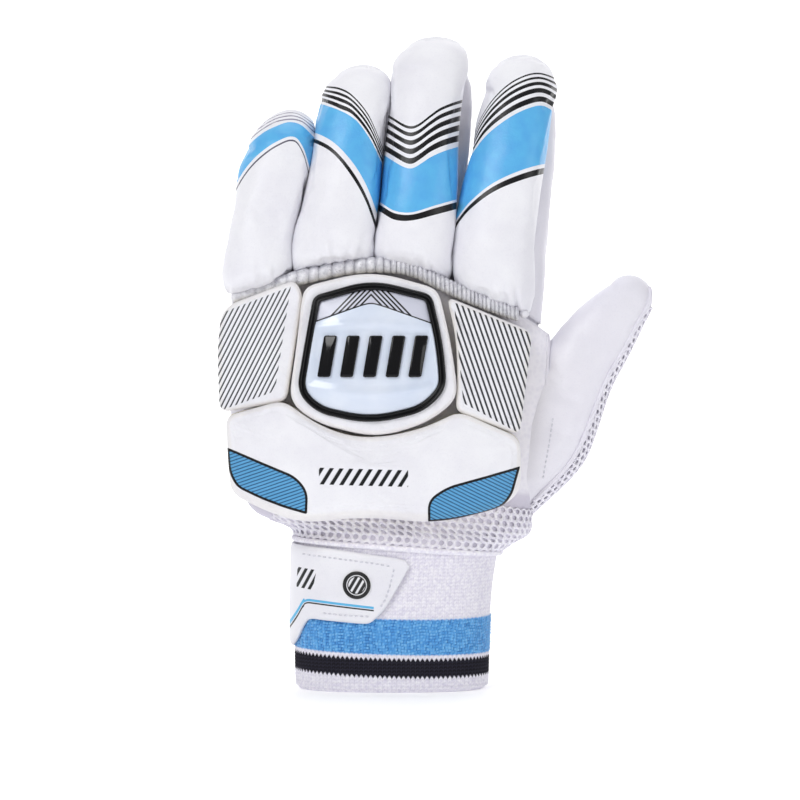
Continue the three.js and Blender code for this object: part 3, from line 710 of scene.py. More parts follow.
def finger_roll(name, spec):
    """A foam roll: round in front, flatter behind, with a domed tip and a gathered lower end."""
    rows = [(*at_pixel(left, y)[::-1], at_pixel(right, y)[0]) for y, left, right in spec["rows"]]
    tip_x, tip_z = at_pixel(*spec["tip"])
    dome_z = rows[-1][0]
    middle_x = (rows[0][1] + rows[0][2]) / 2
    root_z = float(knuckle_z(np.array(middle_x)))
    foot_z = float(strip_z(middle_x)) + ROLL_LIFT
    around, count = 72, 64
    share = 1 - (1 - np.linspace(0, 1, count)) ** 1.7
    round_foot = foot_z + ROLL_FOOT * (1 - np.cos(np.linspace(0, math.pi / 2, 9)))
    levels = foot_z + (tip_z - foot_z) * share[:-1]
    levels = np.concatenate([round_foot, levels[levels > foot_z + ROLL_FOOT + 0.8]])
    angle = np.linspace(0, 2 * math.pi, around, endpoint=False)
    rings = []
    for z in levels:
        left, right = along_table(rows, min(z, dome_z))
        bend = step(dome_z, tip_z, z) if z > dome_z else 0.0
        half = (right - left) / 2 + 0.2
        centre = (left + right) / 2
        centre += (tip_x - centre) * bend * 0.85
        round_off = math.sqrt(max(1 - (max(z - dome_z, 0) / (tip_z - dome_z)) ** 2, 0.0))
        foot = math.sqrt(1 - (1 - min((z - foot_z) / ROLL_FOOT, 1)) ** 2)
        half *= max(round_off, 0.02) * (0.93 + 0.07 * foot)
        rise = z - root_z
        plane = finger_y(rise) - STALL_DEPTH / 2 - GAP
        deep = ROLL_DEPTH * along_table(ROLL_DEEP, (z - foot_z) / (tip_z - foot_z))[0]
        front = deep * (0.5 + 0.5 * foot) * (0.25 + 0.75 * round_off)
        fold = (1 - round_off) * ROLL_DEPTH * 0.28
        bulge = 0.3 * front
        c, s = squircle(angle, np.where(np.sin(angle) < 0, 2.1, 3.0))
        x = centre + c * half
        y = plane + fold - bulge + np.where(s < 0, s * (front - bulge), s * bulge)
        fade = max(0.0, 1 - rise / 40) ** 2 * 0.85
        rings.append(np.stack([x, y, z + fade * (strip_z(x) - strip_z(middle_x))], axis=-1))
    points, faces = loft(rings)
    material = printed_leather(f"{name}_print", PRINTS[name])
    made = piece(f"{name}_roll", points, faces, material, replaces=[f"{name}_roll"])
    held = points[:, 1] > np.interp(points[:, 2], levels, [r[:, 1].max() for r in rings]) - SEWN_REACH
    stuff(made, held, pressure=4.0, slack=0.015, cap=1.2)
    refine(made, around)
    roll_creases(made, foot_z, centre_x=middle_x, seed=len(name))
    final = points_of(made)
    for key, shape in PRINTS[name].items():
        mark(made, key, print_share(shape, final))


def roll_creases(made, foot_z, centre_x, seed):
    """Short tucks fanning up from the sewn lower end, and broad soft dents where the foam gives."""
    points, normals = points_of(made), normals_of(made)
    draw = np.random.default_rng(seed)
    front = step(0.0, 0.6, -normals[:, 1])
    move = 0.28 * waves(points, 26, seed, octaves=2)
    for _ in range(7):
        start_x = centre_x + draw.uniform(-14, 14)
        tilt = (start_x - centre_x) * draw.uniform(-0.02, 0.035)
        high = draw.uniform(7, 16)
        local_foot = foot_z + strip_z(start_x) - strip_z(centre_x)
        up = points[:, 2] - local_foot
        across = points[:, 0] - start_x - tilt * up
        reach = step(-1, 1.5, up) * (1 - step(high * 0.3, high, up))
        move -= draw.uniform(0.25, 0.6) * bell(across, draw.uniform(0.8, 1.5)) * reach
        move += 0.2 * bell(np.abs(across) - 2.2, 1.4) * reach
    move_points(made, points + normals * (move * front)[:, None])


for finger, spec in ROLLS.items():
    finger_roll(finger, spec)


# Outlines in the plane of the photograph
def smooth_outline(corners, count):
    """A closed, even outline (x, z) through rounded corners (pixel x, pixel y, rounding in pixels)."""
    places = pixels(corners)
    reach_wanted = [c[2] * PIXEL for c in corners]
    dense = []
    for i, corner in enumerate(places):
        into, out = places[i - 1] - corner, places[(i + 1) % len(places)] - corner
        reach = min(reach_wanted[i], np.linalg.norm(into) / 2.05, np.linalg.norm(out) / 2.05)
        first = corner + into / np.linalg.norm(into) * reach
        last = corner + out / np.linalg.norm(out) * reach
        for t in np.linspace(0, 1, 14):
            dense.append((1 - t) ** 2 * first + 2 * t * (1 - t) * corner + t * t * last)
    return even_loop(np.array(dense), count)


def even_loop(dense, count):
    looped = np.vstack([dense, dense[:1]])
    along = lengths_along(looped)
    at = np.linspace(0, along[-1], count, endpoint=False)
    return np.stack([np.interp(at, along, looped[:, k]) for k in (0, 1)], axis=-1)


def even_line(places, count):
    """An open line of places, evenly spaced on smooth curves."""
    along = lengths_along(places)
    return along_table(np.column_stack([along, places]), np.linspace(0, along[-1], count))


def inward_of(outline):
    """Unit vectors that point into a closed outline."""
    ahead = np.roll(outline, -2, axis=0) - np.roll(outline, 2, axis=0)
    inward = np.stack([-ahead[:, 1], ahead[:, 0]], axis=-1)
    inward /= np.linalg.norm(inward, axis=1)[:, None]
    x, z = outline[:, 0], outline[:, 1]
    area = np.sum(x * np.roll(z, -1) - np.roll(x, -1) * z)
    return inward if area > 0 else -inward


def smoothed_loop(loop, times):
    for _ in range(times):
        loop = 0.5 * loop + 0.25 * (np.roll(loop, 1, axis=0) + np.roll(loop, -1, axis=0))
    return loop


def inset(outline, distance):
    """The outline moved inwards, kept even and free of loops at its tight corners."""
    return smoothed_loop(outline + inward_of(outline) * distance, int(6 + abs(distance)))


def inside_distance(points, outline):
    """How deep points (x, z) lie inside an outline; negative outside it."""
    nearest = np.full(len(points), 1e9)
    crossings = np.zeros(len(points), int)
    for a, b in zip(outline, np.roll(outline, -1, axis=0)):
        side = b - a
        t = np.clip(((points - a) @ side) / max(side @ side, 1e-9), 0, 1)
        nearest = np.minimum(nearest, np.linalg.norm(points - a - t[:, None] * side, axis=1))
        over = (a[1] > points[:, 1]) != (b[1] > points[:, 1])
        rise = b[1] - a[1] if b[1] != a[1] else 1e-9
        crossings += over & (points[:, 0] < a[0] + (points[:, 1] - a[1]) * side[0] / rise)
    return np.where(crossings % 2 == 1, nearest, -nearest)


# Pads on the back of the hand. Corners: pixel x, pixel y and rounding in pixels.
LEFT_PAD = [(296, 281, 9), (222, 309, 16), (217.5, 350, 60), (220, 414, 10), (288, 401, 7), (304, 296, 12)]
RIGHT_PAD = [(446, 297.5, 8), (532, 333, 10), (519, 436, 10), (455, 411, 6), (457, 372, 40), (455, 335, 30)]
WRIST_PAD = [
    (226, 417, 8), (284, 400, 10), (318, 424, 30), (352, 436, 40), (385, 436, 40), (425, 427, 30),
    (458, 411, 9), (520, 438, 12), (520, 492, 14), (500, 507, 20), (437, 522, 30), (365, 515, 60),
    (302, 522, 30), (260, 508, 30), (231, 494, 12),
]
SHIELD = [
    (371, 271.5, 30), (304, 288, 10), (297, 350, 60), (289.5, 402, 16), (318, 423, 30), (378, 438, 80),
    (430, 421, 30), (458, 398, 14), (451, 345, 60), (438, 290, 10),
]


# A sewn groove inside a pad's edge: millimetres inside the rim, and share of the groove's depth
GROOVE = [(0.5, 0.15), (0.9, 0.5), (1.2, 1.0), (1.5, 1.0), (1.8, 0.5), (2.3, 0.0)]


def pad(name, corners, thickness, decorate, crown=1.0, edge=2.2, low_edge=2.2, count=220, steps=20, groove=0):
    """A foam pad: pale foam side walls, a rolled edge and a crowned leather face that follow the hand.
    Its lower edge may be wider than the rest, and a sewn groove may run inside its edge. Returns the pad, and
    for each point of its rings how far up the pad it is: 0 at the top of the wall, 1 at the rim."""
    outline = smooth_outline(corners, count)
    facing_up = np.clip(inward_of(outline)[:, 1], 0, 1) ** 1.5
    width = smoothed_loop(edge + (low_edge - edge) * facing_up, 8)
    rings, depths = [], []

    def layer(loop, away, depth):
        rings.append(np.stack([loop[:, 0], seat_y(loop[:, 0], loop[:, 1]) - away, loop[:, 1]], axis=-1))
        depths.append(depth)

    def drawn(loop, share):
        middle = loop.mean(axis=0)
        return middle + (loop - middle) * share

    base = inset(outline, 0.8)
    for share in (0.3, 0.6, 0.85, 1.0):
        layer(drawn(base, share), 0.0, -2.0)
    for share in (0.05, 0.2, 0.4, 0.6, 0.8, 1.0):
        waist = 0.45 * math.sin(math.pi * share)
        layer(inset(outline, 0.1 + waist), 0.15 + (thickness - width) * share, -1.0 + share)
    for turn in np.linspace(0.0, 1.0, 8)[1:]:
        bend = turn * math.pi / 2
        loop = outline + inward_of(outline) * (width * (1 - math.cos(bend)))[:, None]
        layer(smoothed_loop(loop, 8), thickness - width * (1 - math.sin(bend)), 0.001 + turn)
    rim = smoothed_loop(outline + inward_of(outline) * width[:, None], 12)
    inner = rim
    if groove:
        for step_in, dip in GROOVE:
            layer(inset(rim, step_in), thickness + crown * 0.1 - groove * dip, 1.01 + step_in * 0.01)
        inner = inset(rim, GROOVE[-1][0])
    for share in np.linspace(0, 1, steps)[1:-1]:
        layer(drawn(inner, 1 - share), thickness + crown * (1 - (1 - share) ** 2), 1.1 + share)
    points, faces = loft(rings)
    material = padded_leather(f"{name}_leather", decorate)
    made = piece(name, points, faces, material, replaces=[name])
    return made, np.repeat(depths, count).reshape(-1, count)


def finish_pad(made, depth, pressure=3.0, cap=0.8, dents=0.25, seed=1):
    """Stuffs the pad under its sewn edge, dents it softly, rounds it and marks its foam walls."""
    held = np.concatenate([depth.ravel(), [-2.0, 2.1]]) < 0.6
    stuff(made, held, pressure=pressure, slack=0.006, cap=cap)
    depth = np.concatenate([refine(made, depth.shape[1], extra=depth)[:, 0], [-2.0, 2.1]])
    points, normals = points_of(made), normals_of(made)
    inner = step(0.4, 1.4, depth)
    move = dents * waves(points, 30, seed, octaves=2) * inner
    move_points(made, points + normals * move[:, None])
    mark(made, "wall", (depth > -1.6) & (depth <= 0.0))
    mark(made, "edge", 1 - step(0.7, 1.05, depth))


# Prints worked out from places in the object's own space
def line_distance(g, origin, angle):
    """Millimetres above a line through an origin (pixels) that rises by an angle (degrees) to the right."""
    at = (at_pixel(*origin) + SHIFT[[0, 2]]) * MM
    normal = (-math.sin(math.radians(angle)), 0.0, math.cos(math.radians(angle)))
    made = g.node("ShaderNodeVectorMath", operation="DOT_PRODUCT")
    g.put(made.inputs[0], g.place)
    made.inputs[1].default_value = tuple(n / MM for n in normal)
    return g.minus(made.outputs["Value"], (normal[0] * at[0] + normal[2] * at[1]) / MM)


def inside_lines(g, corners, soft=0.12):
    """1 inside a convex region whose corners (pixels) are given clockwise as seen in the photograph."""
    cover = None
    for (x0, y0), (x1, y1) in zip(corners, corners[1:] + corners[:1]):
        angle = math.degrees(math.atan2(y0 - y1, x1 - x0))
        side = g.above(g.times(line_distance(g, (x0, y0), angle), -1.0), 0.0, soft)
        cover = side if cover is None else g.times(cover, side)
    return cover


def hatch_lines(g, origin, angle, pitch, width, soft=0.05, field=None):
    """Parallel lines through an origin, of a pitch in millimetres and a width in shares of it, in a field."""
    lines = g.stripes(g.over(line_distance(g, origin, angle), pitch), width, soft)
    return g.times(lines, inside_lines(g, field)) if field else lines


def padded_leather(name, decorate):
    """White leather, with cream foam on the walls and a print made by a function."""
    g = Graph(name, Specular_IOR_Level=0.3)
    leather, rough, ridges = decorate(g, leather_base(g))
    speckle = g.ramp(g.noise(1.1, detail=4), [(0.35, CREAM), (0.65, rgb(246, 243, 235))])
    wall = g.mark("wall")
    creamy = g.mix(1.0, leather, EDGE_TINT, "MULTIPLY")
    leather = g.mix(g.times(g.mark("edge"), 0.55), leather, creamy)
    g.colour(g.mix(wall, leather, speckle))
    g.rough(g.plus(rough, g.times(wall, 0.35)))
    leather_grain(g, ridges=ridges)
    return g.material


# Hatched fields and slashes. Origin and field are pixel places, pitch is millimetres, width a share of it.
LEFT_HATCH = {
    "origin": (230.6, 312), "angle": 63, "pitch": 1.82, "width": 0.34,
    "field": [(219, 316), (231, 311), (291.5, 288), (277, 385), (272, 393), (221, 411.5), (215, 412)],
}
RIGHT_HATCH = {
    "origin": (454, 306), "angle": -71, "pitch": 2.05, "width": 0.39,
    "field": [(453.6, 303.6), (531.5, 334.8), (520.6, 434.6), (462.6, 403)],
}
WRIST_SLASHES = {
    "origin": (322, 476), "angle": 58, "pitch": 3.6, "width": 0.44,
    "field": [(320, 466), (408, 468.5), (408, 485), (320, 482.5)],
}
STRAP_SLASHES = {
    "origin": (296, 570), "angle": 62, "pitch": 2.6, "width": 0.5,
    "field": [(297.5, 568), (317, 570), (313, 590), (296.5, 588)],
}
# Blue patches: a place and the slant of their ridges, and the corners (pixel x, pixel y, rounding in pixels)
PATCHES = {
    "left_patch": {
        "origin": (233, 480), "angle": 20,
        "corners": [
            (228, 448, 1), (297, 475, 9), (309, 490, 9), (308, 512, 1.5), (287, 506.5, 10), (262, 498, 10),
            (238, 487, 7), (230, 472, 7),
        ],
    },
    "right_patch": {
        "origin": (514, 480), "angle": -27,
        "corners": [
            (519, 466, 1), (447, 485, 10), (427.5, 498, 10), (428, 520, 1.5), (450, 518.5, 10),
            (480, 513, 10), (501, 506.5, 7), (511, 494, 7),
        ],
    },
}


def no_print(_, leather):
    """Plain leather. Like each print it returns the colour, the roughness and the height of its ridges."""
    return leather, 0.44, None


def hatch_print(hatch, strength):
    def decorate(g, leather):
        cover = hatch_lines(g, **hatch)
        return g.mix(g.times(cover, strength), leather, HATCH_INK), 0.42, cover
    return decorate


def wrist_prints(g, leather):
    """Two blue patches with dark ridges and black piping, and a small row of plain slashes between them."""
    ridges = None
    for key, patch in PATCHES.items():
        room = g.mark(key)
        lines = hatch_lines(g, patch["origin"], patch["angle"], 1.4, 0.34, soft=0.1)
        blue = g.mix(g.times(lines, 0.9), PATCH_BLUE, PATCH_SHADE)
        inside = g.above(room, 0.0, 0.08)
        leather = g.mix(inside, leather, blue)
        edge = g.times(g.between(room, -0.1, 0.95, 0.08), g.above(room, -1.1, 0.1))
        leather = g.mix(edge, leather, BLACK)
        raised = g.minus(g.times(edge, 1.2), g.times(g.times(lines, inside), 0.8))
        ridges = raised if ridges is None else g.plus(ridges, raised)
    return g.mix(hatch_lines(g, **WRIST_SLASHES), leather, BLACK), 0.4, ridges


made, depth = pad("left_pad", LEFT_PAD, SIDE_PAD_THICKNESS, hatch_print(LEFT_HATCH, 0.95))
finish_pad(made, depth, seed=3)
made, depth = pad("right_pad", RIGHT_PAD, SIDE_PAD_THICKNESS, hatch_print(RIGHT_HATCH, 0.97), groove=0.35)
finish_pad(made, depth, seed=4)
made, depth = pad("wrist_pad", WRIST_PAD, WRIST_PAD_THICKNESS, wrist_prints, crown=1.2, low_edge=4.6,
                  count=300, steps=34, groove=0.25)
finish_pad(made, depth, seed=5, dents=0.35)
final = points_of(made)[:, [0, 2]]
for key, patch in PATCHES.items():
    mark(made, key, inside_distance(final, smooth_outline(patch["corners"], 260)))
made, depth = pad("shield_pad", SHIELD, SHIELD_THICKNESS, no_print, edge=1.7, crown=0.1)
finish_pad(made, depth, seed=6, dents=0.06, cap=0.3)


# Shells, and small parts laid on a surface
def shell(outer, inner, around=False):
    """A closed wall between two nets (row, point, xyz). Around: its rows are closed rings."""
    rows, across = outer.shape[:2]
    if around:
        loop = np.concatenate([outer, inner[::-1]])
        points = loop.reshape(-1, 3)
        return points, outwards(points, net_faces(len(loop), across, join_rows=True, join_across=True))
    points = np.concatenate([outer.reshape(-1, 3), inner.reshape(-1, 3)])
    back = rows * across
    faces = net_faces(rows, across)
    faces += [tuple(back + i for i in reversed(f)) for f in faces]
    edge = list(range(across))
    edge += [k * across + across - 1 for k in range(1, rows)]
    edge += [(rows - 1) * across + i for i in range(across - 2, -1, -1)]
    edge += [k * across for k in range(rows - 2, 0, -1)]
    for a, b in zip(edge, edge[1:] + edge[:1]):
        faces.append((b, a, back + a, back + b))
    return points, outwards(points, faces)


def front_of(made):
    """A function that gives the y of the piece's frontmost surface at places (x, z)."""
    mesh = made.data
    mesh.calc_loop_triangles()
    triangles = [t.vertices[:] for t in mesh.loop_triangles]
    tree = BVHTree.FromPolygons([v.co[:] for v in mesh.vertices], triangles)

    def at(x, z):
        found = []
        for px, pz in np.broadcast(x, z):
            start = Vector(((px + SHIFT[0]) * MM, -0.5, pz * MM))
            hit = tree.ray_cast(start, Vector((0, 1, 0)))[0]
            found.append(hit.y / MM - SHIFT[1] if hit else np.nan)
        return np.array(found)
    return at


def plate_on(outline, surface, thickness, edge, crown=0.0, sunk=0.4, steps=3):
    """Rings of a thin raised plate whose foot lies a little inside a surface y(x, z)."""
    middle = outline.mean(axis=0)
    levels = [(0.0, -sunk), (0.0, thickness - edge)]
    for turn in (0.5, 1.05, math.pi / 2):
        levels.append((edge * (1 - math.cos(turn)), thickness - edge * (1 - math.sin(turn))))
    rings = []
    for step_in, away in levels:
        loop = outline + inward_of(outline) * step_in
        rings.append(np.stack([loop[:, 0], surface(loop[:, 0], loop[:, 1]) - away, loop[:, 1]], axis=-1))
    rim = outline + inward_of(outline) * edge
    for share in np.linspace(0, 1, steps + 1)[1:-1]:
        loop = middle + (rim - middle) * (1 - share)
        away = thickness + crown * (1 - (1 - share) ** 2)
        rings.append(np.stack([loop[:, 0], surface(loop[:, 0], loop[:, 1]) - away, loop[:, 1]], axis=-1))
    return rings


def piping(name, path, radius, material):
    """A sewn welt of round section along a path of places (x, y, z)."""
    path = np.array(path, float)
    ahead = np.gradient(path, axis=0)
    ahead /= np.linalg.norm(ahead, axis=1)[:, None]
    side = np.cross(ahead, [0.0, 1.0, 0.0])
    side /= np.linalg.norm(side, axis=1)[:, None]
    turn = np.linspace(0, 2 * math.pi, 12, endpoint=False)[None, :, None]
    up = np.cross(side, ahead)
    points, faces = loft(path[:, None] + radius * (np.cos(turn) * side[:, None] + np.sin(turn) * up[:, None]))
    piece(name, points, faces, material)


def stitches(name, rows, surface, material, pitch=2.3, length=1.6, width=0.5):
    """Short raised stitches along rows of pixel places, on a surface y(x, z)."""
    share = np.array([0.02, 0.14, 0.32, 0.5, 0.68, 0.86, 0.98])
    thick = width / 2 * (1 - np.abs(2 * share - 1) ** 3) ** 0.5
    turn = np.linspace(0, 2 * math.pi, 8, endpoint=False)
    points, faces = [], []
    for row in rows:
        line = pixels(row)
        along = lengths_along(line)
        for number in range(int(along[-1] / pitch)):
            at = pitch * number + length * share
            places = np.stack([np.interp(at, along, line[:, k]) for k in (0, 1)], axis=-1)
            ahead = places[-1] - places[0]
            across = np.array([-ahead[1], ahead[0]]) / np.linalg.norm(ahead)
            y = surface(places[:, 0], places[:, 1]) - 0.1
            if np.isnan(y).any():
                continue
            rings = np.zeros((len(share), len(turn), 3))
            wide = np.outer(thick, np.cos(turn))
            rings[:, :, 0] = places[:, :1] + across[0] * wide
            rings[:, :, 1] = y[:, None] - np.outer(thick, np.sin(turn)) * 0.8
            rings[:, :, 2] = places[:, 1:] + across[1] * wide
            stitch_points, stitch_faces = loft(rings)
            faces += [tuple(len(points) + i for i in f) for f in stitch_faces]
            points += stitch_points.tolist()
    piece(name, points, faces, material)


def thread_material():
    g = Graph("thread", roughness=0.7, Sheen_Weight=0.2)
    g.colour(g.ramp(g.noise(0.6, detail=2), [(0.3, rgb(190, 189, 202)), (0.7, rgb(226, 226, 234))]))
    g.bump(g.noise(0.25, stretch=(1, 1, 2)), 0.06)
    return g.material


# Shield: its double-beaded ring and its moulded face
SHIELD_RING = [
    (371.5, 280.5, 24), (314, 297, 7), (305, 346, 60), (297.5, 392, 16), (318, 412.5, 24), (371, 424, 70),
    (424, 411.5, 24), (446.5, 389, 14), (443, 345, 60), (431.5, 295.5, 8),
]
RING_PROFILE = [
    (0.0, -0.3), (0.0, 1.0), (0.07, 1.6), (0.2, 2.05), (0.34, 2.05), (0.46, 1.5), (0.52, 1.25), (0.58, 1.5),
    (0.68, 1.95), (0.82, 1.9), (0.94, 1.4), (1.0, 0.8), (1.0, -0.3),
]
RING_POINTS = 320
RING_WIDTH = 3.3
DOME_CROWN = 3.2
DOME_RIM = 0.999  # share at which the dome's foot is drawn in
DOME_FRAME = [(311, 326, 8), (372, 319, 60), (433, 326, 8), (440, 389, 10), (372, 399, 60), (304, 389, 10)]
# The crest: the pixel place of its peak, and its slope, rounding and drop in millimetres
CREST = (371.4, 304.4)
CREST_SLOPE, CREST_ROUNDING, CREST_DROP = 0.36, 6.0, 2.45
# Bars, in pixels
BAR_COUNT, BAR_LEFT, BAR_PITCH, BAR_WIDTH, BAR_LEAN = 5, 318, 22.5, 13, 7
BAR_LOW, BAR_HIGH = 377, 336


def shield_face(x, z):
    return seat_y(x, z) - SHIELD_THICKNESS


def gloss(name, colour, roughness=0.12, coat=0.6):
    g = Graph(name, roughness=roughness, Coat_Weight=coat, Coat_Roughness=0.06, Specular_IOR_Level=0.15)
    darker = tuple(0.75 * c for c in colour[:3]) + (1,)
    g.colour(g.ramp(g.noise(7, detail=3), [(0.3, darker), (0.7, colour)]))
    g.bump(g.noise(3.5, detail=2), 0.05, strength=0.4)
    return g.material


def moulded_face():
    """Glossy pale blue-white, with thin black chevrons above a line near the top."""
    g = Graph("shield_gloss", Coat_Weight=0.5, Coat_Roughness=0.12, Specular_IOR_Level=0.4)
    base = g.ramp(g.noise(16, detail=3), [(0.3, rgb(206, 217, 236)), (0.7, rgb(224, 231, 244))])
    frosted = rgb(205, 207, 222)
    sideways = g.math("ABSOLUTE", line_distance(g, CREST, 90))
    height = line_distance(g, CREST, 0)
    bend = g.math("SQRT", g.plus(g.times(sideways, sideways), CREST_ROUNDING))
    crest = g.plus(height, g.times(g.minus(bend, CREST_DROP), CREST_SLOPE))
    chevron = g.plus(height, g.times(sideways, 1.03))
    lines = g.stripes(g.over(g.minus(chevron, 2.7), 2.15), 0.48, soft=0.06)
    inside = g.between(chevron, 3.1, 13.9, 0.1)
    above_crest = g.above(crest, 0.0, 0.08)
    lines = g.times(g.times(lines, inside), above_crest)
    tone = g.mix(above_crest, base, frosted)
    tone = g.mix(lines, tone, BLACK)
    tone = g.mix(g.between(crest, -0.28, 0.28, 0.07), tone, BLACK)
    g.colour(tone)
    g.rough(g.plus(0.22, g.times(above_crest, 0.2)))
    g.bump(g.noise(9, detail=2), 0.25, strength=0.25)
    return g.material


def shield_ring(outline):
    rings = []
    for across, out in RING_PROFILE:
        loop = smoothed_loop(outline + inward_of(outline) * across * RING_WIDTH, 3)
        rings.append(np.stack([loop[:, 0], shield_face(loop[:, 0], loop[:, 1]) - out, loop[:, 1]], axis=-1))
    points = np.array(rings).reshape(-1, 3)
    faces = outwards(points, net_faces(len(rings), RING_POINTS, join_rows=True, join_across=True))
    material = gloss("ring_gloss", BLACK, roughness=0.16, coat=0.35)
    piece("shield_ring", points, faces, material, replaces=["shield_ring"])


def shield_dome(outline):
    """The moulded face inside the ring: crowned, raised on a frame, sunk below it and above the crest."""
    middle = outline.mean(axis=0)
    rings = []
    for share in np.concatenate([[DOME_RIM, 1.0], 1 - np.linspace(0, 1, 56)[1:-1]]):
        loop = middle + (outline - middle) * share
        rim = share == DOME_RIM
        level = 0.15 if rim else 0.9 + DOME_CROWN * (1 - share**2.6)
        y = shield_face(loop[:, 0], loop[:, 1]) - level + 0.6 * rim
        rings.append(np.stack([loop[:, 0], y, loop[:, 1]], axis=-1))
    points, faces = loft(rings)
    made = piece("shield_dome", points, faces, moulded_face(), replaces=["shield_dome"])
    inside = inside_distance(points[:, [0, 2]], smooth_outline(DOME_FRAME, 200))
    sideways = points[:, 0] - at_pixel(*CREST)[0]
    crest_z = at_pixel(*CREST)[1] - CREST_SLOPE * (np.sqrt(sideways**2 + CREST_ROUNDING) - CREST_DROP)
    points[:, 1] -= 0.55 * bell(inside - 1.2, 1.5) - 0.5 * step(2.0, 5.0, inside)
    points[:, 1] += 0.6 * step(-0.5, 0.6, points[:, 2] - crest_z)
    move_points(made, points)
    return made


def shield_bars(surface):
    """Plain raised slanted marks across the shield's middle."""
    points, faces = [], []
    for number in range(BAR_COUNT):
        left = BAR_LEFT + number * BAR_PITCH
        low, high = (left, left + BAR_WIDTH), (left + BAR_LEAN + BAR_WIDTH, left + BAR_LEAN)
        corners = [(x, BAR_LOW, 2.2) for x in low] + [(x, BAR_HIGH, 2.2) for x in high]
        outline = smooth_outline(corners, 72)
        bar_points, bar_faces = loft(plate_on(outline, surface, 1.3, 0.55, crown=0.25, steps=4))
        faces += [tuple(len(points) + i for i in f) for f in bar_faces]
        points += bar_points.tolist()
    piece("shield_bars", points, faces, gloss("bar_gloss", BLACK, roughness=0.12, coat=0.4))


ring_outline = smooth_outline(SHIELD_RING, RING_POINTS)
shield_ring(ring_outline)
dome = shield_dome(inset(ring_outline, RING_WIDTH - 0.15))
shield_bars(front_of(dome))


# Knuckle strip: silver leather gathered over a filling, in broad puffs at the left and fine ones at the right
STRIP_LEFT, STRIP_RIGHT = 230.5, 520  # pixels
BROAD_PUFF, FINE_PUFF = 5.0, 1.8
KNOB_PLACE = (524, 315)
KNOB_RADIUS = 2.1


def silver_leather():
    g = Graph("silver_leather", roughness=0.36, Metallic=0.25)
    silvers = [(0.28, rgb(186, 186, 195)), (0.5, rgb(216, 216, 222)), (0.74, rgb(240, 240, 244))]
    worn = g.ramp(g.noise(2.2, detail=4, roughness=0.65), silvers)
    # Painted shade: the gathers between the puffs, where the fold mark is high, are painted a darker
    # violet-grey.
    g.colour(g.mix(g.times(g.mark("fold"), 0.4), worn, rgb(140, 139, 150)))
    g.rough(g.ramp(g.noise(1.5, detail=3), [(0.3, (0.24,) * 3 + (1,)), (0.7, (0.5,) * 3 + (1,))]))
    under = g.bump(g.noise(1.6, detail=4, roughness=0.7), 0.35, strength=0.8)
    g.bump(g.noise(0.4, detail=2), 0.06, under=under)
    return g.material


def fold_places(left_x, right_x):
    """Where the gathers lie along the strip: wide apart on its left half, close together on its right."""
    draw = np.random.default_rng(12)
    folds = [left_x + 0.5]
    while folds[-1] < right_x:
        share = (folds[-1] - left_x) / (right_x - left_x)
        wide = BROAD_PUFF - (BROAD_PUFF - FINE_PUFF) * min(max((share - 0.46) / 0.12, 0), 1)
        folds.append(folds[-1] + wide * draw.uniform(0.82, 1.18))
    return np.array(folds)


def knuckle_strip():
    left_x, right_x = at_pixel(STRIP_LEFT, 0)[0], at_pixel(STRIP_RIGHT, 0)[0]
    folds = fold_places(left_x, right_x)
    angle = np.linspace(0, 2 * math.pi, 20, endpoint=False)
    rings, creases = [], []
    for x in np.linspace(left_x, right_x, 620):
        k = min(max(np.searchsorted(folds, x) - 1, 0), len(folds) - 2)
        part = (x - folds[k]) / (folds[k + 1] - folds[k])
        puff = math.sqrt(max(1 - (2 * part - 1) ** 2, 0.0))
        end = min((x - left_x) / 2.0, (right_x - x) / 2.0, 1.0)
        end = math.sqrt(max(1 - (1 - end) ** 2, 0.01))
        flat = 1 - 0.82 * math.exp(-(((x - left_x) / 28.0) ** 6))
        z = float(strip_z(x))
        back = float(seat_y(x, z - STRIP_HEIGHT))
        deep = STRIP_DEPTH * (0.98 + 0.2 * puff * flat) * end
        half = (STRIP_HEIGHT / 2 * (1.0 + 0.2 * puff * flat) + 0.9) * end
        c, s = squircle(angle, 2.4)
        lift = np.where(c > 0, 0.35 * puff * flat * c, 0.0)
        rings.append(np.stack([x + 0 * c, back - deep * (1 - s) / 2, z + c * half + lift], axis=-1))
        # Painted shade: how darkly the crease between two puffs is painted, faint along the flat left end.
        creases.append(np.full(len(angle), (1 - puff) ** 2 * flat))
    points, faces = loft(rings)
    made = piece("knuckle_strip", points, faces, silver_leather(), replaces=["knuckle_strip"])
    mark(made, "fold", np.concatenate([np.ravel(creases), [0, 0]]))


def strip_knob():
    """A small leather ball where the strip ends."""
    x, z = at_pixel(*KNOB_PLACE)
    angle = np.linspace(0, 2 * math.pi, 20, endpoint=False)
    y = seat_y(x, z) - 6.0
    rings = []
    for level in np.linspace(-1, 1, 15)[1:-1]:
        wide = KNOB_RADIUS * math.sqrt(1 - level**2)
        height = z + KNOB_RADIUS * level + 0 * angle
        rings.append(np.stack([x + wide * np.cos(angle), y + wide * np.sin(angle), height], axis=-1))
    points, faces = loft(rings)
    piece("strip_knob", points, faces, plain_leather("knob_leather"))


knuckle_strip()
strip_knob()


# Knitted cuff
WALES = 112
WALE_POINTS = 5
CUFF_ROWS = 150
ROW_HEIGHT = 1.5
CUFF_TOP = 1.5  # how far the knit runs up behind the seam
# Bands: lower edge and its sag, upper edge and its sag
BLUE_BAND = (17.4, 0.8, 33.4, 1.4)
BLACK_BAND = (7.9, 1.0, 15.7, 1.0)


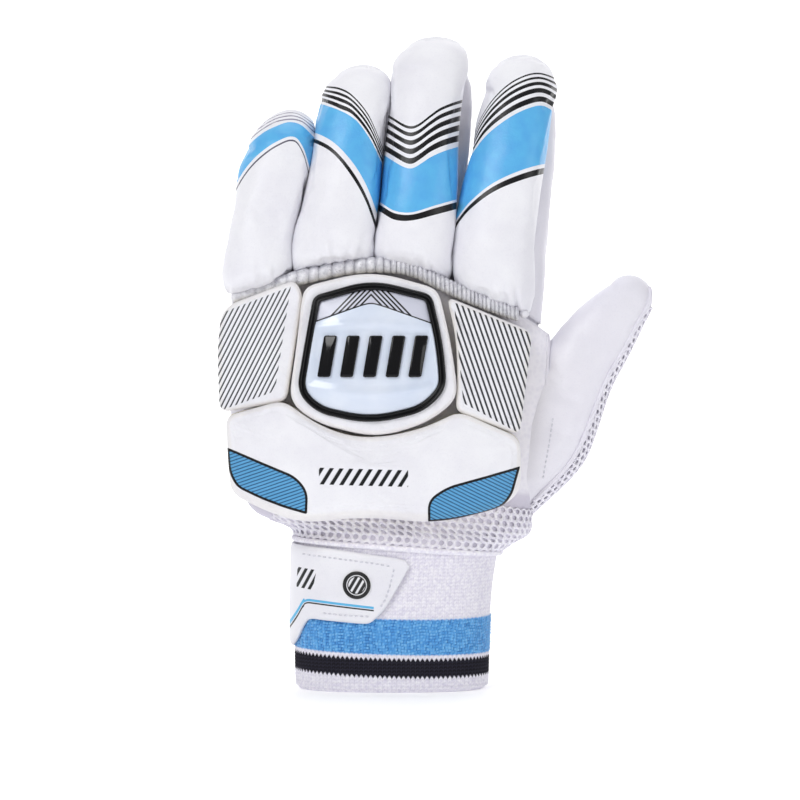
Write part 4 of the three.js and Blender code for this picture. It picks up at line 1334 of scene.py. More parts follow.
def knit_material():
    """White rib knit with a blue band of small nubs and a black band, whose edges follow the stitches. Shade
    is painted between the stitches and between the nubs, and highlight on the nubs' tops.
    """
    g = Graph("knit", roughness=0.9, Sheen_Roughness=0.5, Specular_IOR_Level=0.2)
    white = g.ramp(g.noise(1.3, detail=3), [(0.3, rgb(222, 218, 234)), (0.65, rgb(245, 243, 250))])
    # Painted shade and highlight: the blue is dark in the valleys between the nubs and light on their tops,
    # and varies at random with their uneven heights.
    blues = [(0.0, rgb(30, 88, 164)), (0.32, rgb(76, 154, 222)), (0.9, rgb(126, 196, 246))]
    blue = g.ramp(g.mark("nub"), blues)
    tone = g.mix(g.between(g.mark("blue_rise"), 0.0, 1.0, 0.03), white, blue)
    black = g.between(g.mark("black_rise"), 0.0, 1.0, 0.06)
    tone = g.mix(black, tone, rgb(8, 8, 11))
    g.put(g.shader.inputs["Sheen Weight"], g.times(g.minus(1.0, black), 0.35))
    # Painted shade: the knit is painted darker violet-grey in the hollows between the stitches.
    g.colour(g.mix(g.times(g.mark("hollow"), 0.38), tone, g.mix(0.6, tone, rgb(96, 92, 118))))
    fibres = g.noise(0.28, detail=3, stretch=(1, 1, 0.5))
    g.bump(fibres, 0.12)
    return g.material


def knit_cuff():
    """Stitches in relief: two slanted legs for each wale and row, and uneven nubs in the blue band."""
    angle = even_angles(WALES * WALE_POINTS, 0.5)
    column = np.arange(len(angle)) / WALE_POINTS
    leg = np.abs(column - np.floor(column) - 0.5) * 2
    zig = 0.55 * (leg - 0.5)
    draw = np.random.default_rng(4)
    nub_heights = draw.uniform(0.0, 1.0, (64, WALES * 2))
    nub_shifts = draw.uniform(0.0, 1.0, 64)
    outer, inner, marks = [], [], {key: [] for key in ("nub", "hollow", "blue_rise", "black_rise")}
    for share in np.linspace(0.0, 1.0, CUFF_ROWS):
        base = cuff_point(angle, share * CUFF_HEIGHT)
        x = base[:, 0]
        z = share * (seam_z(x) + CUFF_TOP)
        row = z / ROW_HEIGHT
        stitch = np.abs(np.sin(math.pi * (row + leg * 0.55))) ** 0.7
        stitch *= np.sin(math.pi * np.clip(leg, 0.04, 0.96)) ** 0.5
        blue_rise = band_rise(x, z + 0.6 * zig, BLUE_BAND)
        black_rise = band_rise(x, z + 2.8 * zig, BLACK_BAND)
        in_blue = step(-0.02, 0.02, blue_rise) * (1 - step(0.98, 1.02, blue_rise))
        rise = row * 1.15 + 0.32 * np.sin(column * 1.1) + 0.24 * np.sin(column * 0.43 + 2)
        lines = np.floor(rise).astype(int) % 64
        sideways = column * 1.5 + nub_shifts[lines]
        cell = np.floor(sideways).astype(int) % (WALES * 2)
        bump_x = np.abs(sideways - np.floor(sideways) - 0.5) * 2
        bump_z = np.abs(rise - np.floor(rise) - 0.5) * 2
        nub = np.clip(1 - np.maximum(bump_x, bump_z) ** 2, 0, 1) ** 0.6
        nub *= 0.35 + 0.65 * nub_heights[lines, cell]
        fine = 0.16 + 0.16 * (1 - step(15.8, 17.2, z)) + 0.05 * (1 - step(33, 35, z))
        hem = -0.8 * np.sqrt(np.clip(1 - z / 1.6, 0, 1))
        away = in_blue * nub * 0.95 + (1 - in_blue) * stitch * fine * 1.3 - 0.25 + hem
        spread = cuff_point(angle, share * CUFF_HEIGHT, 1.0) - base
        outer.append(np.column_stack([base[:, :2] + spread[:, :2] * away[:, None], z]))
        inside = cuff_point(angle, share * CUFF_HEIGHT, -KNIT_WALL + 0.5)
        inner.append(np.column_stack([inside[:, :2], z]))
        # The nub and hollow marks carry painted light: shade and highlight on the blue nubs, and shade
        # between the stitches.
        for key, value in zip(marks, (nub, 1 - stitch, blue_rise, black_rise)):
            marks[key].append(value)
    plain = [*range(0, CUFF_ROWS - 1, 12), CUFF_ROWS - 1]  # the inner face needs few rows
    points, faces = shell(np.array(outer), np.array(inner)[plain], around=True)
    made = piece("knit_cuff", points, faces, knit_material(), replaces=["knit_cuff"])
    for key, value in marks.items():
        grid = np.array(value)
        mark(made, key, np.concatenate([grid, grid[plain][::-1]]).ravel())


def band_rise(x, z, band):
    """0 at the lower edge of a band round the cuff and 1 at its upper edge."""
    low, low_sag, high, high_sag = band
    low_z = low + sway(x, low_sag)
    return (z - low_z) / (high + sway(x, high_sag) - low_z)


def sway(x, amount):
    """The bands sag a little in the middle of the cuff and rise towards the little finger's side."""
    across = x / (CUFF_WIDTH / 2)
    return -amount * (1 - across**2) - 1.1 * across


def even_angles(count, share):
    """Angles that part the cuff's outline at a share of its height into equal lengths."""
    dense = np.linspace(0, 2 * math.pi, 2001)
    points = cuff_point(dense, share * CUFF_HEIGHT)
    along = lengths_along(points)
    return np.interp(np.arange(count) / count * along[-1], along, dense)


knit_cuff()

# Strap: pixel x, top and bottom of its front, from the left edge of the cuff to the free end
STRAP_FRONT = [
    (294, 545, 648), (299, 545, 640), (305, 545.5, 627), (309, 546, 621), (314, 546.5, 619.2),
    (326, 548, 619.8), (345, 550.5, 621.2), (362, 553, 622.4), (370, 554, 622), (376, 554.8, 618),
    (385, 556, 608), (394, 557.5, 592), (400, 558.7, 580), (403, 560.5, 573.5), (405, 563.5, 568.5),
]
STRAP_LINE = [(293, 622), (298, 614), (303, 605), (306.5, 602.3), (311, 601.8), (340, 604.5), (373, 608)]
STRAP_BLUE, STRAP_INK = rgb(84, 176, 222), rgb(40, 38, 42)
STRAP_BEND, STRAP_LINE_END = 305, 374  # pixel x where the lines bend, and where they end
STRAP_THICKNESS = 1.8
STRAP_BACK_LOW, STRAP_BACK_HIGH = 18.0, 60.5
STRAP_TURN = 1.12


def angle_at(x):
    """Angle of a place on the cuff's front."""
    share = np.sign(x) * np.abs(np.clip(x / (CUFF_WIDTH / 2), -1, 1)) ** (POWER / 2)
    return -np.arccos(share)


def strap_leather():
    g = Graph("strap_leather")
    leather = leather_base(g, rgb(232, 232, 238))
    line = g.mark("line")
    room = g.above(g.mark("line_room"), 0.0, 0.1)
    leather = g.mix(g.times(g.between(line, 0.1, 1.15, 0.06), room), leather, STRAP_BLUE)
    leather = g.mix(g.times(g.between(line, -0.85, -0.2, 0.06), room), leather, STRAP_INK)
    slashes = hatch_lines(g, **STRAP_SLASHES)
    leather = g.mix(g.times(slashes, g.mark("front")), leather, BLACK)
    g.colour(leather)
    g.rough(0.4)
    leather_grain(g, depth=0.02)
    return g.material


def wrist_strap():
    table = [(at_pixel(x, 0)[0], at_pixel(x, low)[1], at_pixel(x, high)[1]) for x, high, low in STRAP_FRONT]
    front_angles = angle_at(np.linspace(table[-1][0], table[0][0], 150))
    last = float(front_angles[0]) - STRAP_TURN * math.pi
    back_angles = np.linspace(front_angles[-1], last, 150)[1:]
    outer, inner = [], []
    for number, angle in enumerate(np.concatenate([front_angles, back_angles])):
        x = cuff_point(np.array(angle), 40.0, GAP)[0]
        low, high = along_table(table, x)
        past_front = (number - len(front_angles)) / len(back_angles)
        share = step(0, 0.35, max(past_front, 0))
        low += (STRAP_BACK_LOW - low) * share
        high += (STRAP_BACK_HIGH - high) * share
        high = min(high, float(seam_z(x)) - 1.4)
        z = np.linspace(low, high, 24)
        edge = np.minimum(z - low, high - z)
        out = STRAP_THICKNESS - 0.7 * np.clip(1 - edge / 0.8, 0, 1) ** 2
        out -= 0.9 * (1 - min(number / 4.0, 1.0)) ** 2
        outer.append(cuff_point(np.full(len(z), angle), z, GAP + out))
        inner.append(cuff_point(np.full(len(z), angle), z, GAP))
    outer, inner = np.array(outer), np.array(inner)
    outer[:, :, 1] += 0.25 * waves(outer.reshape(-1, 3), 22, 9, octaves=2).reshape(outer.shape[:2])
    points, faces = shell(outer, inner)
    made = piece("wrist_strap", points, faces, strap_leather(), replaces=["wrist_strap"])
    inked = points[:, 2] - along_line(STRAP_LINE, points[:, 0])
    in_front = points[:, 1] < 0
    mark(made, "line", inked * np.where(points[:, 0] < at_pixel(STRAP_BEND, 0)[0], 0.55, 1.0))
    mark(made, "line_room", np.where(in_front, at_pixel(STRAP_LINE_END, 0)[0] - points[:, 0], -60.0))
    mark(made, "front", in_front)
    return made


strap = wrist_strap()
strap_front = front_of(strap)
STRAP_STITCHES = [
    [(302, 554.5), (323.5, 556.5), (354, 559.8), (373, 562.2), (392, 565.2)],
    [(394, 567.5), (392, 577), (389, 588), (385, 599), (379, 608.5)],
    [(369, 615.2), (345, 614.2), (321.5, 612.2)],
]
thread = thread_material()
stitches("strap_stitches", STRAP_STITCHES, strap_front, thread, width=0.8)


# Badge: a black disc with a pale rim and plain stripes. Its profile: radius, and height over the strap.
BADGE_PLACE = (357, 584)
BADGE_PROFILE = [
    (6.5, -0.4), (6.5, 0.35), (6.3, 0.6), (6.1, 0.62), (5.95, 0.95), (5.7, 1.1), (4.7, 1.1), (4.5, 0.95),
    (4.45, 0.95), (4.25, 1.2), (4.05, 0.95), (3.8, 0.85), (3.0, 0.9), (2.2, 0.92), (1.4, 0.94), (0.7, 0.95),
]


def badge_material():
    g = Graph("badge_rubber", roughness=0.35)
    radius = g.mark("radius")
    mark_lines = hatch_lines(g, (352, 584), 60, 2.3, 0.42, soft=0.06)
    centre = g.between(radius, -1.0, 3.6, 0.08)
    pale = rgb(226, 226, 230)
    tone = g.mix(g.times(mark_lines, centre), BLACK, pale)
    tone = g.mix(g.between(radius, 4.05, 4.45, 0.06), tone, pale)
    tone = g.mix(g.above(radius, 6.05, 0.06), tone, pale)
    g.colour(tone)
    g.bump(g.noise(0.5, detail=2), 0.03)
    return g.material


def strap_badge():
    x, z = at_pixel(*BADGE_PLACE)
    angle = np.linspace(0, 2 * math.pi, 96, endpoint=False)
    rings = []
    for radius, away in BADGE_PROFILE:
        ring_x, ring_z = x + radius * np.cos(angle), z + radius * np.sin(angle)
        rings.append(np.stack([ring_x, strap_front(ring_x, ring_z) - away, ring_z], axis=-1))
    points, faces = loft(rings)
    made = piece("strap_badge", points, faces, badge_material(), replaces=["strap_badge"])
    radii = [radius for radius, _ in BADGE_PROFILE]
    mark(made, "radius", np.concatenate([np.repeat(radii, len(angle)), [radii[0], 0.0]]))


strap_badge()


# Cloth and leather of the hand, the thumb and the stalls
def mesh_cloth(name, tone=rgb(237, 235, 243), deep=rgb(230, 228, 238)):
    """The plain ground under an open air mesh: matte, with a faint net of small hollows painted a little
    darker as shade, and painted darker still as the air mesh's shade where the open mark says one lies over
    it.
    """
    g = Graph(name, roughness=0.88, Sheen_Weight=0.25, Sheen_Roughness=0.5)
    net = g.cells(2.3, feature="F1")
    # Painted shade: the small hollows of the net are painted a little darker.
    shade = g.ramp(net, [(0.15, deep), (0.6, tone)])
    # Painted shade: darker violet-grey where an air mesh lies over the cloth.
    g.colour(g.mix(g.mark("open"), shade, rgb(208, 204, 219)))
    under = g.bump(net, 0.4, strength=0.35)
    g.bump(g.noise(0.5, detail=3), 0.1, under=under)
    return g.material


def strand_material(name="air_strands"):
    g = Graph(name, roughness=0.85, Sheen_Weight=0.3, Sheen_Roughness=0.45)
    g.colour(g.ramp(g.noise(1.2, detail=3), [(0.3, rgb(226, 222, 238)), (0.7, rgb(248, 247, 252))]))
    twist = g.noise(0.3, detail=2, stretch=(1, 1, 2))
    g.bump(twist, 0.12)
    return g.material


def palm_material(name="palm_leather_skin"):
    """Softer, finer leather with worn creases."""
    g = Graph(name, Sheen_Weight=0.1)
    g.colour(g.mix(0.5, leather_base(g, rgb(232, 231, 238)), leather_base(g, rgb(226, 224, 234))))
    under = g.bump(g.noise(14, detail=5, roughness=0.62), 1.0, strength=0.3)
    g.bump(g.plus(g.times(g.cells(0.7), 0.7), g.times(g.noise(0.3), 0.4)), 0.06, under=under)
    return g.material


CLOTH_WALL = 2.0
SPLIT_ANGLE = 0.28  # how far the back of the hand wraps round to its side seams


def hand_net(angles, ups, away):
    return np.array([hand_point(angles, np.full(len(angles), up), away) for up in ups])


def spaced(point_at, low, high, count):
    """Angles that part a stretch of a section into equal lengths."""
    dense = np.linspace(low, high, 1201)
    along = lengths_along(point_at(dense))
    return np.interp(np.linspace(0, along[-1], count), along, dense)


def hand_shell(name, low, high, material, slot, fold):
    ups = np.concatenate([[0.004], np.linspace(0.012, 0.15, 18), np.linspace(0.17, 0.99, 52)])
    angles = spaced(lambda a: hand_point(a, np.full(len(a), 0.4)), low, high, 106)
    outer, inner = hand_net(angles, ups, 0.0), hand_net(angles, ups, -CLOTH_WALL)
    flat = outer.reshape(-1, 3)
    out = (outer - inner) / CLOTH_WALL
    outer = outer + out * fold(flat).reshape(outer.shape[:2])[..., None]
    points, faces = shell(outer, inner)
    return piece(name, points, faces, material, replaces=[name])


def back_folds(points):
    """The cloth bulges softly where it comes out under the wrist pad, and puckers along the cuff's seam."""
    up = points[:, 2] - seam_z(points[:, 0])
    puckers = waves(points * [1, 1, 0.2], 9, 22, octaves=1) * bell(up - 3, 6)
    return 0.35 * waves(points, 24, 21, octaves=2) + 0.25 * puckers


# Creases of the palm: height at its middle, tilt and depth
PALM_CREASES = [(172, 0.1, 1.1), (150, -0.16, 1.3), (128, 0.3, 0.8), (108, -0.35, 0.9), (90, 0.12, 0.7)]


def palm_folds(points):
    """Creases where the palm bends, and soft wear between them."""
    x, z = points[:, 0], points[:, 2]
    move = 0.5 * waves(points, 30, 31, octaves=3)
    for level, tilt, deep in PALM_CREASES:
        away = z - level - tilt * x - 2.2 * np.sin(x / 11 + level)
        move -= deep * bell(away, 1.7) * step(0, 8, points[:, 1])
        move += 0.35 * bell(np.abs(away) - 4, 2.2) * step(0, 8, points[:, 1])
    return move


back_ends = (math.pi - SPLIT_ANGLE, 2 * math.pi + SPLIT_ANGLE)
hand_back = hand_shell("back_mesh", *back_ends, mesh_cloth("back_cloth"), "mesh", back_folds)
low_open = points_of(hand_back)
# Painted shade on the cloth where the wrist air mesh lies over it.
mark(hand_back, "open", step(29, 26, low_open[:, 2] - seam_z(low_open[:, 0])) * (low_open[:, 1] < 10))
hand_shell("palm_leather", SPLIT_ANGLE, math.pi - SPLIT_ANGLE, palm_material(), "leather", palm_folds)

# Seams: welts where the stalls meet the palm, round the top of the cuff and down the gusset
welt = plain_leather("welt_leather", rgb(226, 224, 234))
seam_angles = np.linspace(0.42, math.pi - 0.42, 160)
piping("palm_welt", hand_point(seam_angles, np.full(len(seam_angles), 1.0), 0.2), 1.0, welt)
low_angles = np.linspace(math.pi - 0.1, 2 * math.pi + 0.1, 240)
low_seam = hand_point(low_angles, np.full(len(low_angles), 0.006), 0.5)
piping("cuff_welt", low_seam, 1.2, strand_material("welt_cloth"))
back_front = front_of(hand_back)
GUSSET_SEAM = [
    (546.5, 322), (548, 340), (548, 362), (546.5, 385), (545, 405), (543, 430), (541, 455), (539, 478),
    (537, 500),
]
gusset_x, gusset_z = even_line(pixels(GUSSET_SEAM), 90).T
piping("gusset_welt", np.stack([gusset_x, back_front(gusset_x, gusset_z), gusset_z], axis=1), 0.75, welt)

# Stalls: name, place at the knuckles and width in shares of half the hand, height and lean of FINGER_LENGTH
FINGERS = [
    ("little", -0.758, 0.417, 0.784, 0.11),
    ("ring", -0.292, 0.501, 0.882, 0.127),
    ("middle", 0.207, 0.49, 1.0, 0.103),
    ("index", 0.704, 0.499, 1.0, 0.127),
]
# Stall: share of its height, width, depth, and squareness of its section
STALL_SECTIONS = [
    (0.0, 1.0, 1.0, 4.0), (0.2, 0.99, 0.97, 3.4), (0.45, 0.96, 0.93, 3.0), (0.7, 0.92, 0.88, 2.6),
    (0.86, 0.84, 0.81, 2.4), (0.92, 0.74, 0.72, 2.3),
]
STALL_SHARE = 0.9
STALL_OFFSET = 2.4
SEAM_GAP = 0.3


def stall_ring(finger, pitch, share, away, angle):
    name, u, wide, tall, tilt = finger
    middle_x, width = HAND_OFFSET + u * HALF_HAND, wide * HALF_HAND
    height, lean = tall * FINGER_LENGTH, tilt * FINGER_LENGTH
    w, d, power = along_table(STALL_SECTIONS, share)
    dome_start = STALL_SECTIONS[-1][0]
    close = math.sqrt(max(1 - (max(share - dome_start, 0) / (1 - dome_start)) ** 2, 0.0))
    rise = SEAM_GAP + share * height * STALL_SHARE
    half = (min(pitch, width) * w / 2 - SEAM_GAP + away) * close
    deep = (STALL_DEPTH * d / 2 + away) * close
    c, s = squircle(angle, power)
    x = middle_x + STALL_OFFSET + lean * rise / height + c * half
    fade = min(max(1 - rise / (0.4 * height), 0.0), 1.0) ** 2
    z = fade * knuckle_z(x) + (1 - fade) * knuckle_z(middle_x) + rise
    return np.stack([x, finger_y(rise) + s * deep, z], axis=-1)


def finger_stall(finger, pitch, seed):
    """A leather tube, creased on its palm side where the finger bends, with raised side seams."""
    angle = np.linspace(0, 2 * math.pi, 64, endpoint=False)
    dome = 0.92 + 0.0795 * np.sin(np.linspace(0, math.pi / 2, 12)[1:])
    shares = np.concatenate([[-0.045, -0.02, 0.0], np.linspace(0, 0.92, 62), dome])
    sunk = np.concatenate([[-0.9, -0.9, -0.9], np.zeros(len(shares) - 3)])
    outer = np.array([stall_ring(finger, pitch, share, away, angle) for share, away in zip(shares, sunk)])
    inner_shares = np.minimum(shares[:-3:4], 0.985)
    inner = np.array([stall_ring(finger, pitch, share, -CLOTH_WALL, angle) for share in inner_shares])
    out = np.stack([np.cos(angle), np.sin(angle), 0 * angle], axis=-1)
    behind = np.clip(np.sin(angle), 0, 1)
    flat = outer.reshape(-1, 3)
    move = 0.3 * waves(flat, 20, seed, octaves=2).reshape(outer.shape[:2])
    for joint in (0.24, 0.5, 0.74):
        for offset, deep in ((-0.02, 0.7), (0.015, 1.0), (0.05, 0.5)):
            wavy = 0.012 * np.sin(angle * 3 + seed + offset * 60)
            move -= deep * bell(shares[:, None] - joint - offset - wavy, 0.012) * behind**0.5
    seam = bell(np.abs(angle - math.pi) - 0.42, 0.05) + bell(np.abs(angle - 0.42), 0.05)
    move += 0.35 * seam[None, :] * (shares[:, None] < 0.9)
    move *= (sunk == 0)[:, None]
    outer = outer + out * np.minimum(move, 0.25)[..., None] * step(1.0, 0.9, shares)[:, None, None]
    rings = np.concatenate([inner[::-1], outer])
    points, faces = loft(rings)
    name = finger[0] + "_stall"
    piece(name, points, faces, palm_material(name + "_skin"), replaces=[name])


for number, finger in enumerate(FINGERS):
    ahead = FINGERS[number + 1][1] if number < 3 else 9
    finger_stall(finger, (ahead - finger[1]) * HALF_HAND, seed=40 + number)

# Thumb: share of its length, sideways shift, width and depth
THUMB_SECTIONS = [
    (-0.28, 0.0, 0.86, 0.92), (-0.1, 0.0, 0.95, 0.98), (0.1, 0.0, 0.98, 1.0), (0.28, 0.03, 0.9, 0.96),
    (0.47, 0.085, 0.82, 0.9), (0.66, 0.095, 0.74, 0.82), (0.82, 0.085, 0.6, 0.7), (0.88, 0.07, 0.53, 0.63),
]
THUMB_LENGTH, THUMB_WIDTH, THUMB_DEPTH = 89, 40, 30
THUMB_ANGLE = math.radians(53.8)
THUMB_BASE = np.array([60.0, 5.0, 105.0])
THUMB_REACH_BACK = 7
THUMB_AXIS = np.array([math.cos(THUMB_ANGLE), 0, math.sin(THUMB_ANGLE)])
THUMB_SIDE = np.array([-math.sin(THUMB_ANGLE), 0, math.cos(THUMB_ANGLE)])
THUMB_DOME = 0.88
THUMB_ROOT = -0.28
THUMB_SEAM = math.pi + 0.72  # where the leather meets the mesh at the thumb's outer edge


def thumb_ring(along, angle, away=0.0):
    shift, wide, deep = along_table(THUMB_SECTIONS, along)
    close = math.sqrt(max(1 - (max(along - THUMB_DOME, 0) / (1 - THUMB_DOME)) ** 2, 0.0004))
    centre = THUMB_BASE + THUMB_AXIS * along * THUMB_LENGTH + THUMB_SIDE * shift * THUMB_WIDTH
    centre = centre + np.array([0, THUMB_REACH_BACK * max(0, along) ** 1.5, 0])
    c, s = squircle(angle, 2.3)
    half, thick = (THUMB_WIDTH * wide / 2 + away) * close, (THUMB_DEPTH * deep / 2 + away) * close
    half = half * np.where(c < 0, 1 + 0.16 * bell(along - 0.1, 0.3), 1.0)
    return centre + np.outer(c * half, THUMB_SIDE) + np.outer(s * thick, [0, 1, 0])


def thumb_shares():
    dome = THUMB_DOME + (0.9995 - THUMB_DOME) * np.sin(np.linspace(0, math.pi / 2, 16)[1:])
    return np.concatenate([np.linspace(THUMB_ROOT, THUMB_DOME, 64), dome])


def thumb_shell(name, low, high, material, fold):
    angles = spaced(lambda a: thumb_ring(0.3, a), low, high, 70)
    shares = thumb_shares()
    outer = np.array([thumb_ring(share, angles) for share in shares])
    inner = np.array([thumb_ring(min(share, 0.985), angles, -CLOTH_WALL) for share in shares])
    out = np.stack([thumb_ring(share, angles, 1.0) - thumb_ring(share, angles) for share in shares])
    move = fold(outer.reshape(-1, 3)).reshape(outer.shape[:2]) * step(1.0, 0.9, shares)[:, None]
    points, faces = shell(outer + out * move[..., None], inner)
    return piece(name, points, faces, material, replaces=[name])


# Creases of the thumb: pixel place, tilt in degrees, depth and width
THUMB_CREASES = [
    (562, 398, -32, 1.5, 1.9), (560, 436, -22, 1.2, 1.7), (575, 440, 60, 0.7, 2.4),
    (592, 352, -58, 0.7, 2.8), (552, 372, -48, 0.9, 1.6),
]


def thumb_folds(points):
    """Faint creases that fan out from the crook, and one soft fold across the base."""
    move = 0.3 * waves(points, 26, 51, octaves=3)
    for px, py, tilt, deep, wide in THUMB_CREASES:
        x, z = at_pixel(px, py)
        turn = math.radians(tilt)
        along = (points[:, 0] - x) * math.cos(turn) + (points[:, 2] - z) * math.sin(turn)
        across = -(points[:, 0] - x) * math.sin(turn) + (points[:, 2] - z) * math.cos(turn)
        move -= deep * bell(across - 0.02 * along**2, wide) * bell(along, 9)
    return move


thumb_skin = palm_material("thumb_skin")
thumb = thumb_shell("thumb_leather", THUMB_SEAM, 2 * math.pi + 0.25, thumb_skin, thumb_folds)
thumb_back = thumb_shell("thumb_mesh", 0.25, THUMB_SEAM - 0.03, mesh_cloth("thumb_cloth"),
                         lambda points: -0.35 + 0.2 * waves(points, 22, 52, octaves=2))
# Painted shade: the thumb's cloth is a little darker all over, under its air mesh.
mark(thumb_back, "open", np.full(len(thumb_back.data.vertices), 0.35))

seam_shares = np.linspace(-0.2, 0.985, 120)
seam_points = np.array([thumb_ring(share, np.array([THUMB_SEAM]), 0.2)[0] for share in seam_shares])
piping("thumb_welt", seam_points, 1.0, welt)
THUMB_STITCHES = [[(553, 420), (551, 436), (548, 453), (545, 470), (542.5, 487)]]
stitches("thumb_stitches", THUMB_STITCHES, front_of(thumb), thread, width=0.7)


# Air mesh: an open net of oval holes, laid over a surface in even steps
HOLE_WIDE, HOLE_TALL = 0.66, 0.68  # half sizes of a hole, in shares of half the pitch


def air_mesh(name, surface, s_range, t_range, pitch, keep, thickness=0.7):
    """Six-sided cells with oval holes on surface(s, t), as one sheet with a thickness."""
    rise = pitch * 0.9
    corners = [(0.5, 1 / 3), (0.25, 0.5), (0, 2 / 3), (-0.25, 0.5), (-0.5, 1 / 3), (-0.5, 0)]
    corners += [(-x, -y) for x, y in corners]
    places, faces, known = [], [], {}

    def place(s, t, height):
        key = (round(s, 2), round(t, 2))
        if key not in known:
            known[key] = len(places)
            places.append((s, t, height))
        return known[key]

    for row in range(int((t_range[1] - t_range[0]) / rise)):
        t = t_range[0] + row * rise
        for column in range(int((s_range[1] - s_range[0]) / pitch)):
            s = s_range[0] + (column + 0.5 * (row % 2)) * pitch
            if not keep(surface(np.array([s]), np.array([t]))[0]):
                continue
            rim = [place(s + x * pitch, t + y * rise, 0.25) for x, y in corners]
            hole = []
            for x, y in corners:
                turn = math.atan2(y * rise, x * pitch)
                hole_s = s + HOLE_WIDE * pitch / 2 * math.cos(turn)
                hole_t = t + HOLE_TALL * pitch / 2 * math.sin(turn)
                hole.append(place(hole_s, hole_t, 0.0))
            faces += [(rim[i], rim[(i + 1) % 12], hole[(i + 1) % 12], hole[i]) for i in range(12)]
    grid = np.array(places)
    base, out = surface(grid[:, 0], grid[:, 1]), surface(grid[:, 0], grid[:, 1], 1.0)
    out = out - base
    made = piece(name, base + out * (grid[:, 2:] + 0.25), faces, strand_material())
    modifier = made.modifiers.new("thickness", "SOLIDIFY")
    modifier.thickness = thickness * MM
    modifier.offset = 0.0
    apply_modifiers(made)
    return made


def surface_of(section, rows, low, high, centre):
    """surface(s, t, away): t along the middle of a net of sections and s round them, both in millimetres."""
    angles = np.linspace(low, high, 500)
    nets = {away: np.array([section(row, angles, away) for row in rows]) for away in (0.0, 1.0)}
    length = np.linalg.norm(np.diff(nets[0.0], axis=1), axis=2)
    along = np.concatenate([np.zeros((len(rows), 1)), np.cumsum(length, axis=1)], axis=1)
    along -= np.array([np.interp(centre, angles, line) for line in along])[:, None]
    middle = np.argmin(np.abs(angles - centre))
    up = lengths_along(nets[0.0][:, middle])

    def on_row(net, row, s):
        return [np.interp(s, along[row], net[row, :, axis]) for axis in range(3)]

    def at(s, t, away=0.0):
        place = np.clip(np.interp(t, up, np.arange(len(rows))), 0, len(rows) - 1.001)
        k, part = place.astype(int), (place % 1)[:, None]
        low_row = np.array([on_row(nets[away], row, where) for where, row in zip(s, k)])
        high_row = np.array([on_row(nets[away], row + 1, where) for where, row in zip(s, k)])
        return low_row * (1 - part) + high_row * part
    return at


hand_surface = surface_of(lambda up, angle, away: hand_point(angle, np.full(len(angle), up), away),
                          np.linspace(0.004, 0.4, 60), math.pi - 0.3, 2 * math.pi + 0.3, 1.5 * math.pi)
air_mesh("wrist_air_mesh", hand_surface, (-62, 74), (1.2, 30), 3.7,
         lambda p: -52 < p[0] < 62 and p[2] - seam_z(p[0]) < 27 and p[1] < 9)
thumb_surface = surface_of(thumb_ring, thumb_shares()[:-1], 0.3, THUMB_SEAM - 0.04, math.pi)
air_mesh("thumb_air_mesh", thumb_surface, (-14, 15), (3, 110), 3.3, lambda p: p[0] > 55)


# Camera, lights and stage
CAMERA_DISTANCE = 1.9
CAMERA_LIFT = 2.2  # degrees above level
PICTURE_WIDTH = 792 * PIXEL
TARGET_X = (400 - MIDDLE_X) * PIXEL
TARGET_Y = -30  # the fronts of the rolls and the cuff
TARGET_Z = (FLOOR_Y - 400) * PIXEL


def add_camera():
    data = bpy.data.cameras.new("camera")
    camera = bpy.data.objects.new("camera", data)
    bpy.context.scene.collection.objects.link(camera)
    bpy.context.scene.camera = camera
    target = Vector(((TARGET_X + SHIFT[0]) * MM, (TARGET_Y + SHIFT[1]) * MM, TARGET_Z * MM))
    lift = math.radians(CAMERA_LIFT)
    back = Vector((0.0, -math.cos(lift), math.sin(lift)))
    camera.location = target + back * CAMERA_DISTANCE
    camera.rotation_euler = (-back).to_track_quat("-Z", "Y").to_euler()
    data.sensor_width = 36
    data.lens = data.sensor_width * CAMERA_DISTANCE / (PICTURE_WIDTH * MM)
    data.clip_end = 20


def add_light(name, place, size, power, colour=(1, 1, 1), aim=(0, 0, 0.14)):
    data = bpy.data.lights.new(name, "AREA")
    data.shape = "RECTANGLE"
    data.size, data.size_y = size
    data.energy = power
    data.color = colour
    light = bpy.data.objects.new(name, data)
    bpy.context.scene.collection.objects.link(light)
    light.location = place
    light.rotation_euler = (Vector(aim) - Vector(place)).to_track_quat("-Z", "Y").to_euler()


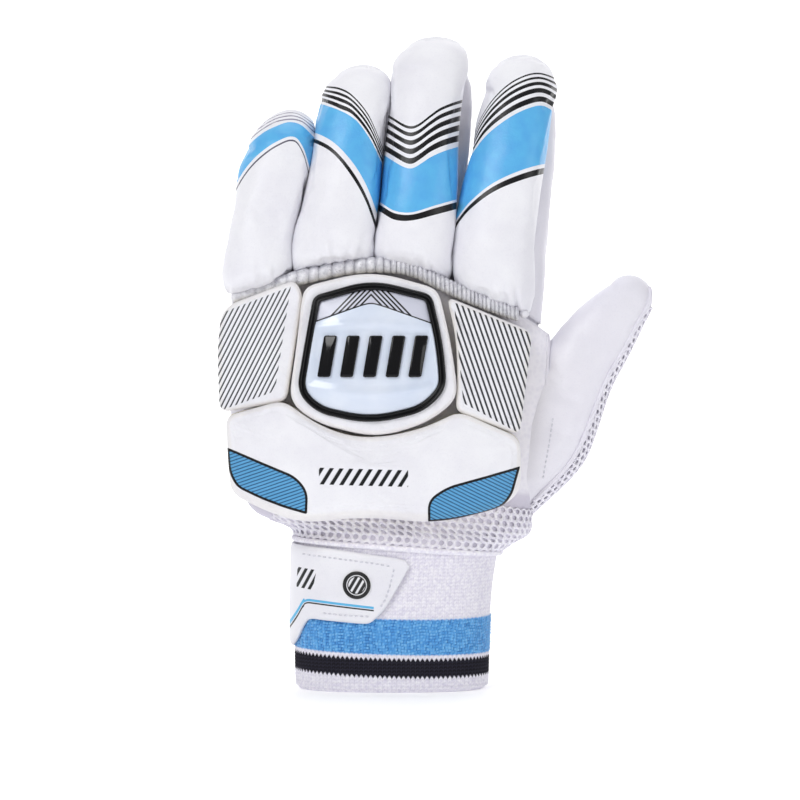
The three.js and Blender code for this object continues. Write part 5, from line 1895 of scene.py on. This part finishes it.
def add_stage():
    """A pale floor that runs up into a pale wall far behind. The floor is grey in front of the glove, and
    floor and wall glow as painted light, though they are no lamps: faintly from a little in front of the
    glove, and strongly far behind.
    """
    g = Graph("glowing_floor_and_wall", roughness=0.55)
    tint = g.ramp(g.noise(300, detail=2), [(0.3, rgb(250, 250, 251)), (0.7, rgb(253, 253, 254))])
    depth = g.node("ShaderNodeSeparateXYZ")
    g.put(depth.inputs[0], g.place)
    near = g.above(depth.outputs["Y"], -0.85, 0.45)
    far = g.above(depth.outputs["Y"], 0.6, 0.75)
    # The floor is grey in front of the glove and pale from a little in front of it backwards.
    g.colour(g.mix(near, rgb(196, 196, 200), tint))
    # Painted light: the floor glows faintly from a little in front of the glove backwards, and strongly far
    # behind and up the wall.
    g.put(g.shader.inputs["Emission Color"], (1.0, 1.0, 1.0, 1.0))
    g.put(g.shader.inputs["Emission Strength"], g.plus(g.times(near, 0.2), g.times(far, 0.55)))
    profile = [(y, 0.0) for y in (-8.0, -2.0, 1.6)]
    for turn in np.linspace(0, math.pi / 2, 12)[1:]:
        profile.append((1.6 + 1.2 * math.sin(turn), 1.2 * (1 - math.cos(turn))))
    profile.append((2.8, 6.0))
    points = [(x, y, z) for y, z in profile for x in (-6.0, 6.0)]
    faces = [(2 * i, 2 * i + 1, 2 * i + 3, 2 * i + 2) for i in range(len(profile) - 1)]
    mesh = bpy.data.meshes.new("backdrop")
    mesh.from_pydata(points, [], faces)
    mesh.polygons.foreach_set("use_smooth", [True] * len(mesh.polygons))
    mesh.materials.append(g.material)
    backdrop = bpy.data.objects.new("backdrop", mesh)
    bpy.context.scene.collection.objects.link(backdrop)


def add_world(strength):
    world = bpy.data.worlds.new("studio")
    bpy.context.scene.world = world
    world.use_nodes = True
    background = world.node_tree.nodes["Background"]
    background.inputs["Color"].default_value = (1.0, 1.0, 1.0, 1.0)
    background.inputs["Strength"].default_value = strength


add_camera()
add_stage()
add_world(0.34)
add_light("key", (-0.8, -1.25, 1.15), (0.8, 0.8), 13.5)
add_light("fill", (1.4, -1.0, 0.45), (0.9, 1.1), 6)
add_light("top", (0.1, 0.15, 1.7), (1.0, 0.7), 5)
add_light("back", (0.6, 1.4, 0.9), (1.0, 0.8), 1.2)
bpy.context.scene.view_settings.view_transform = "Standard"
bpy.context.scene.view_settings.look = "None"
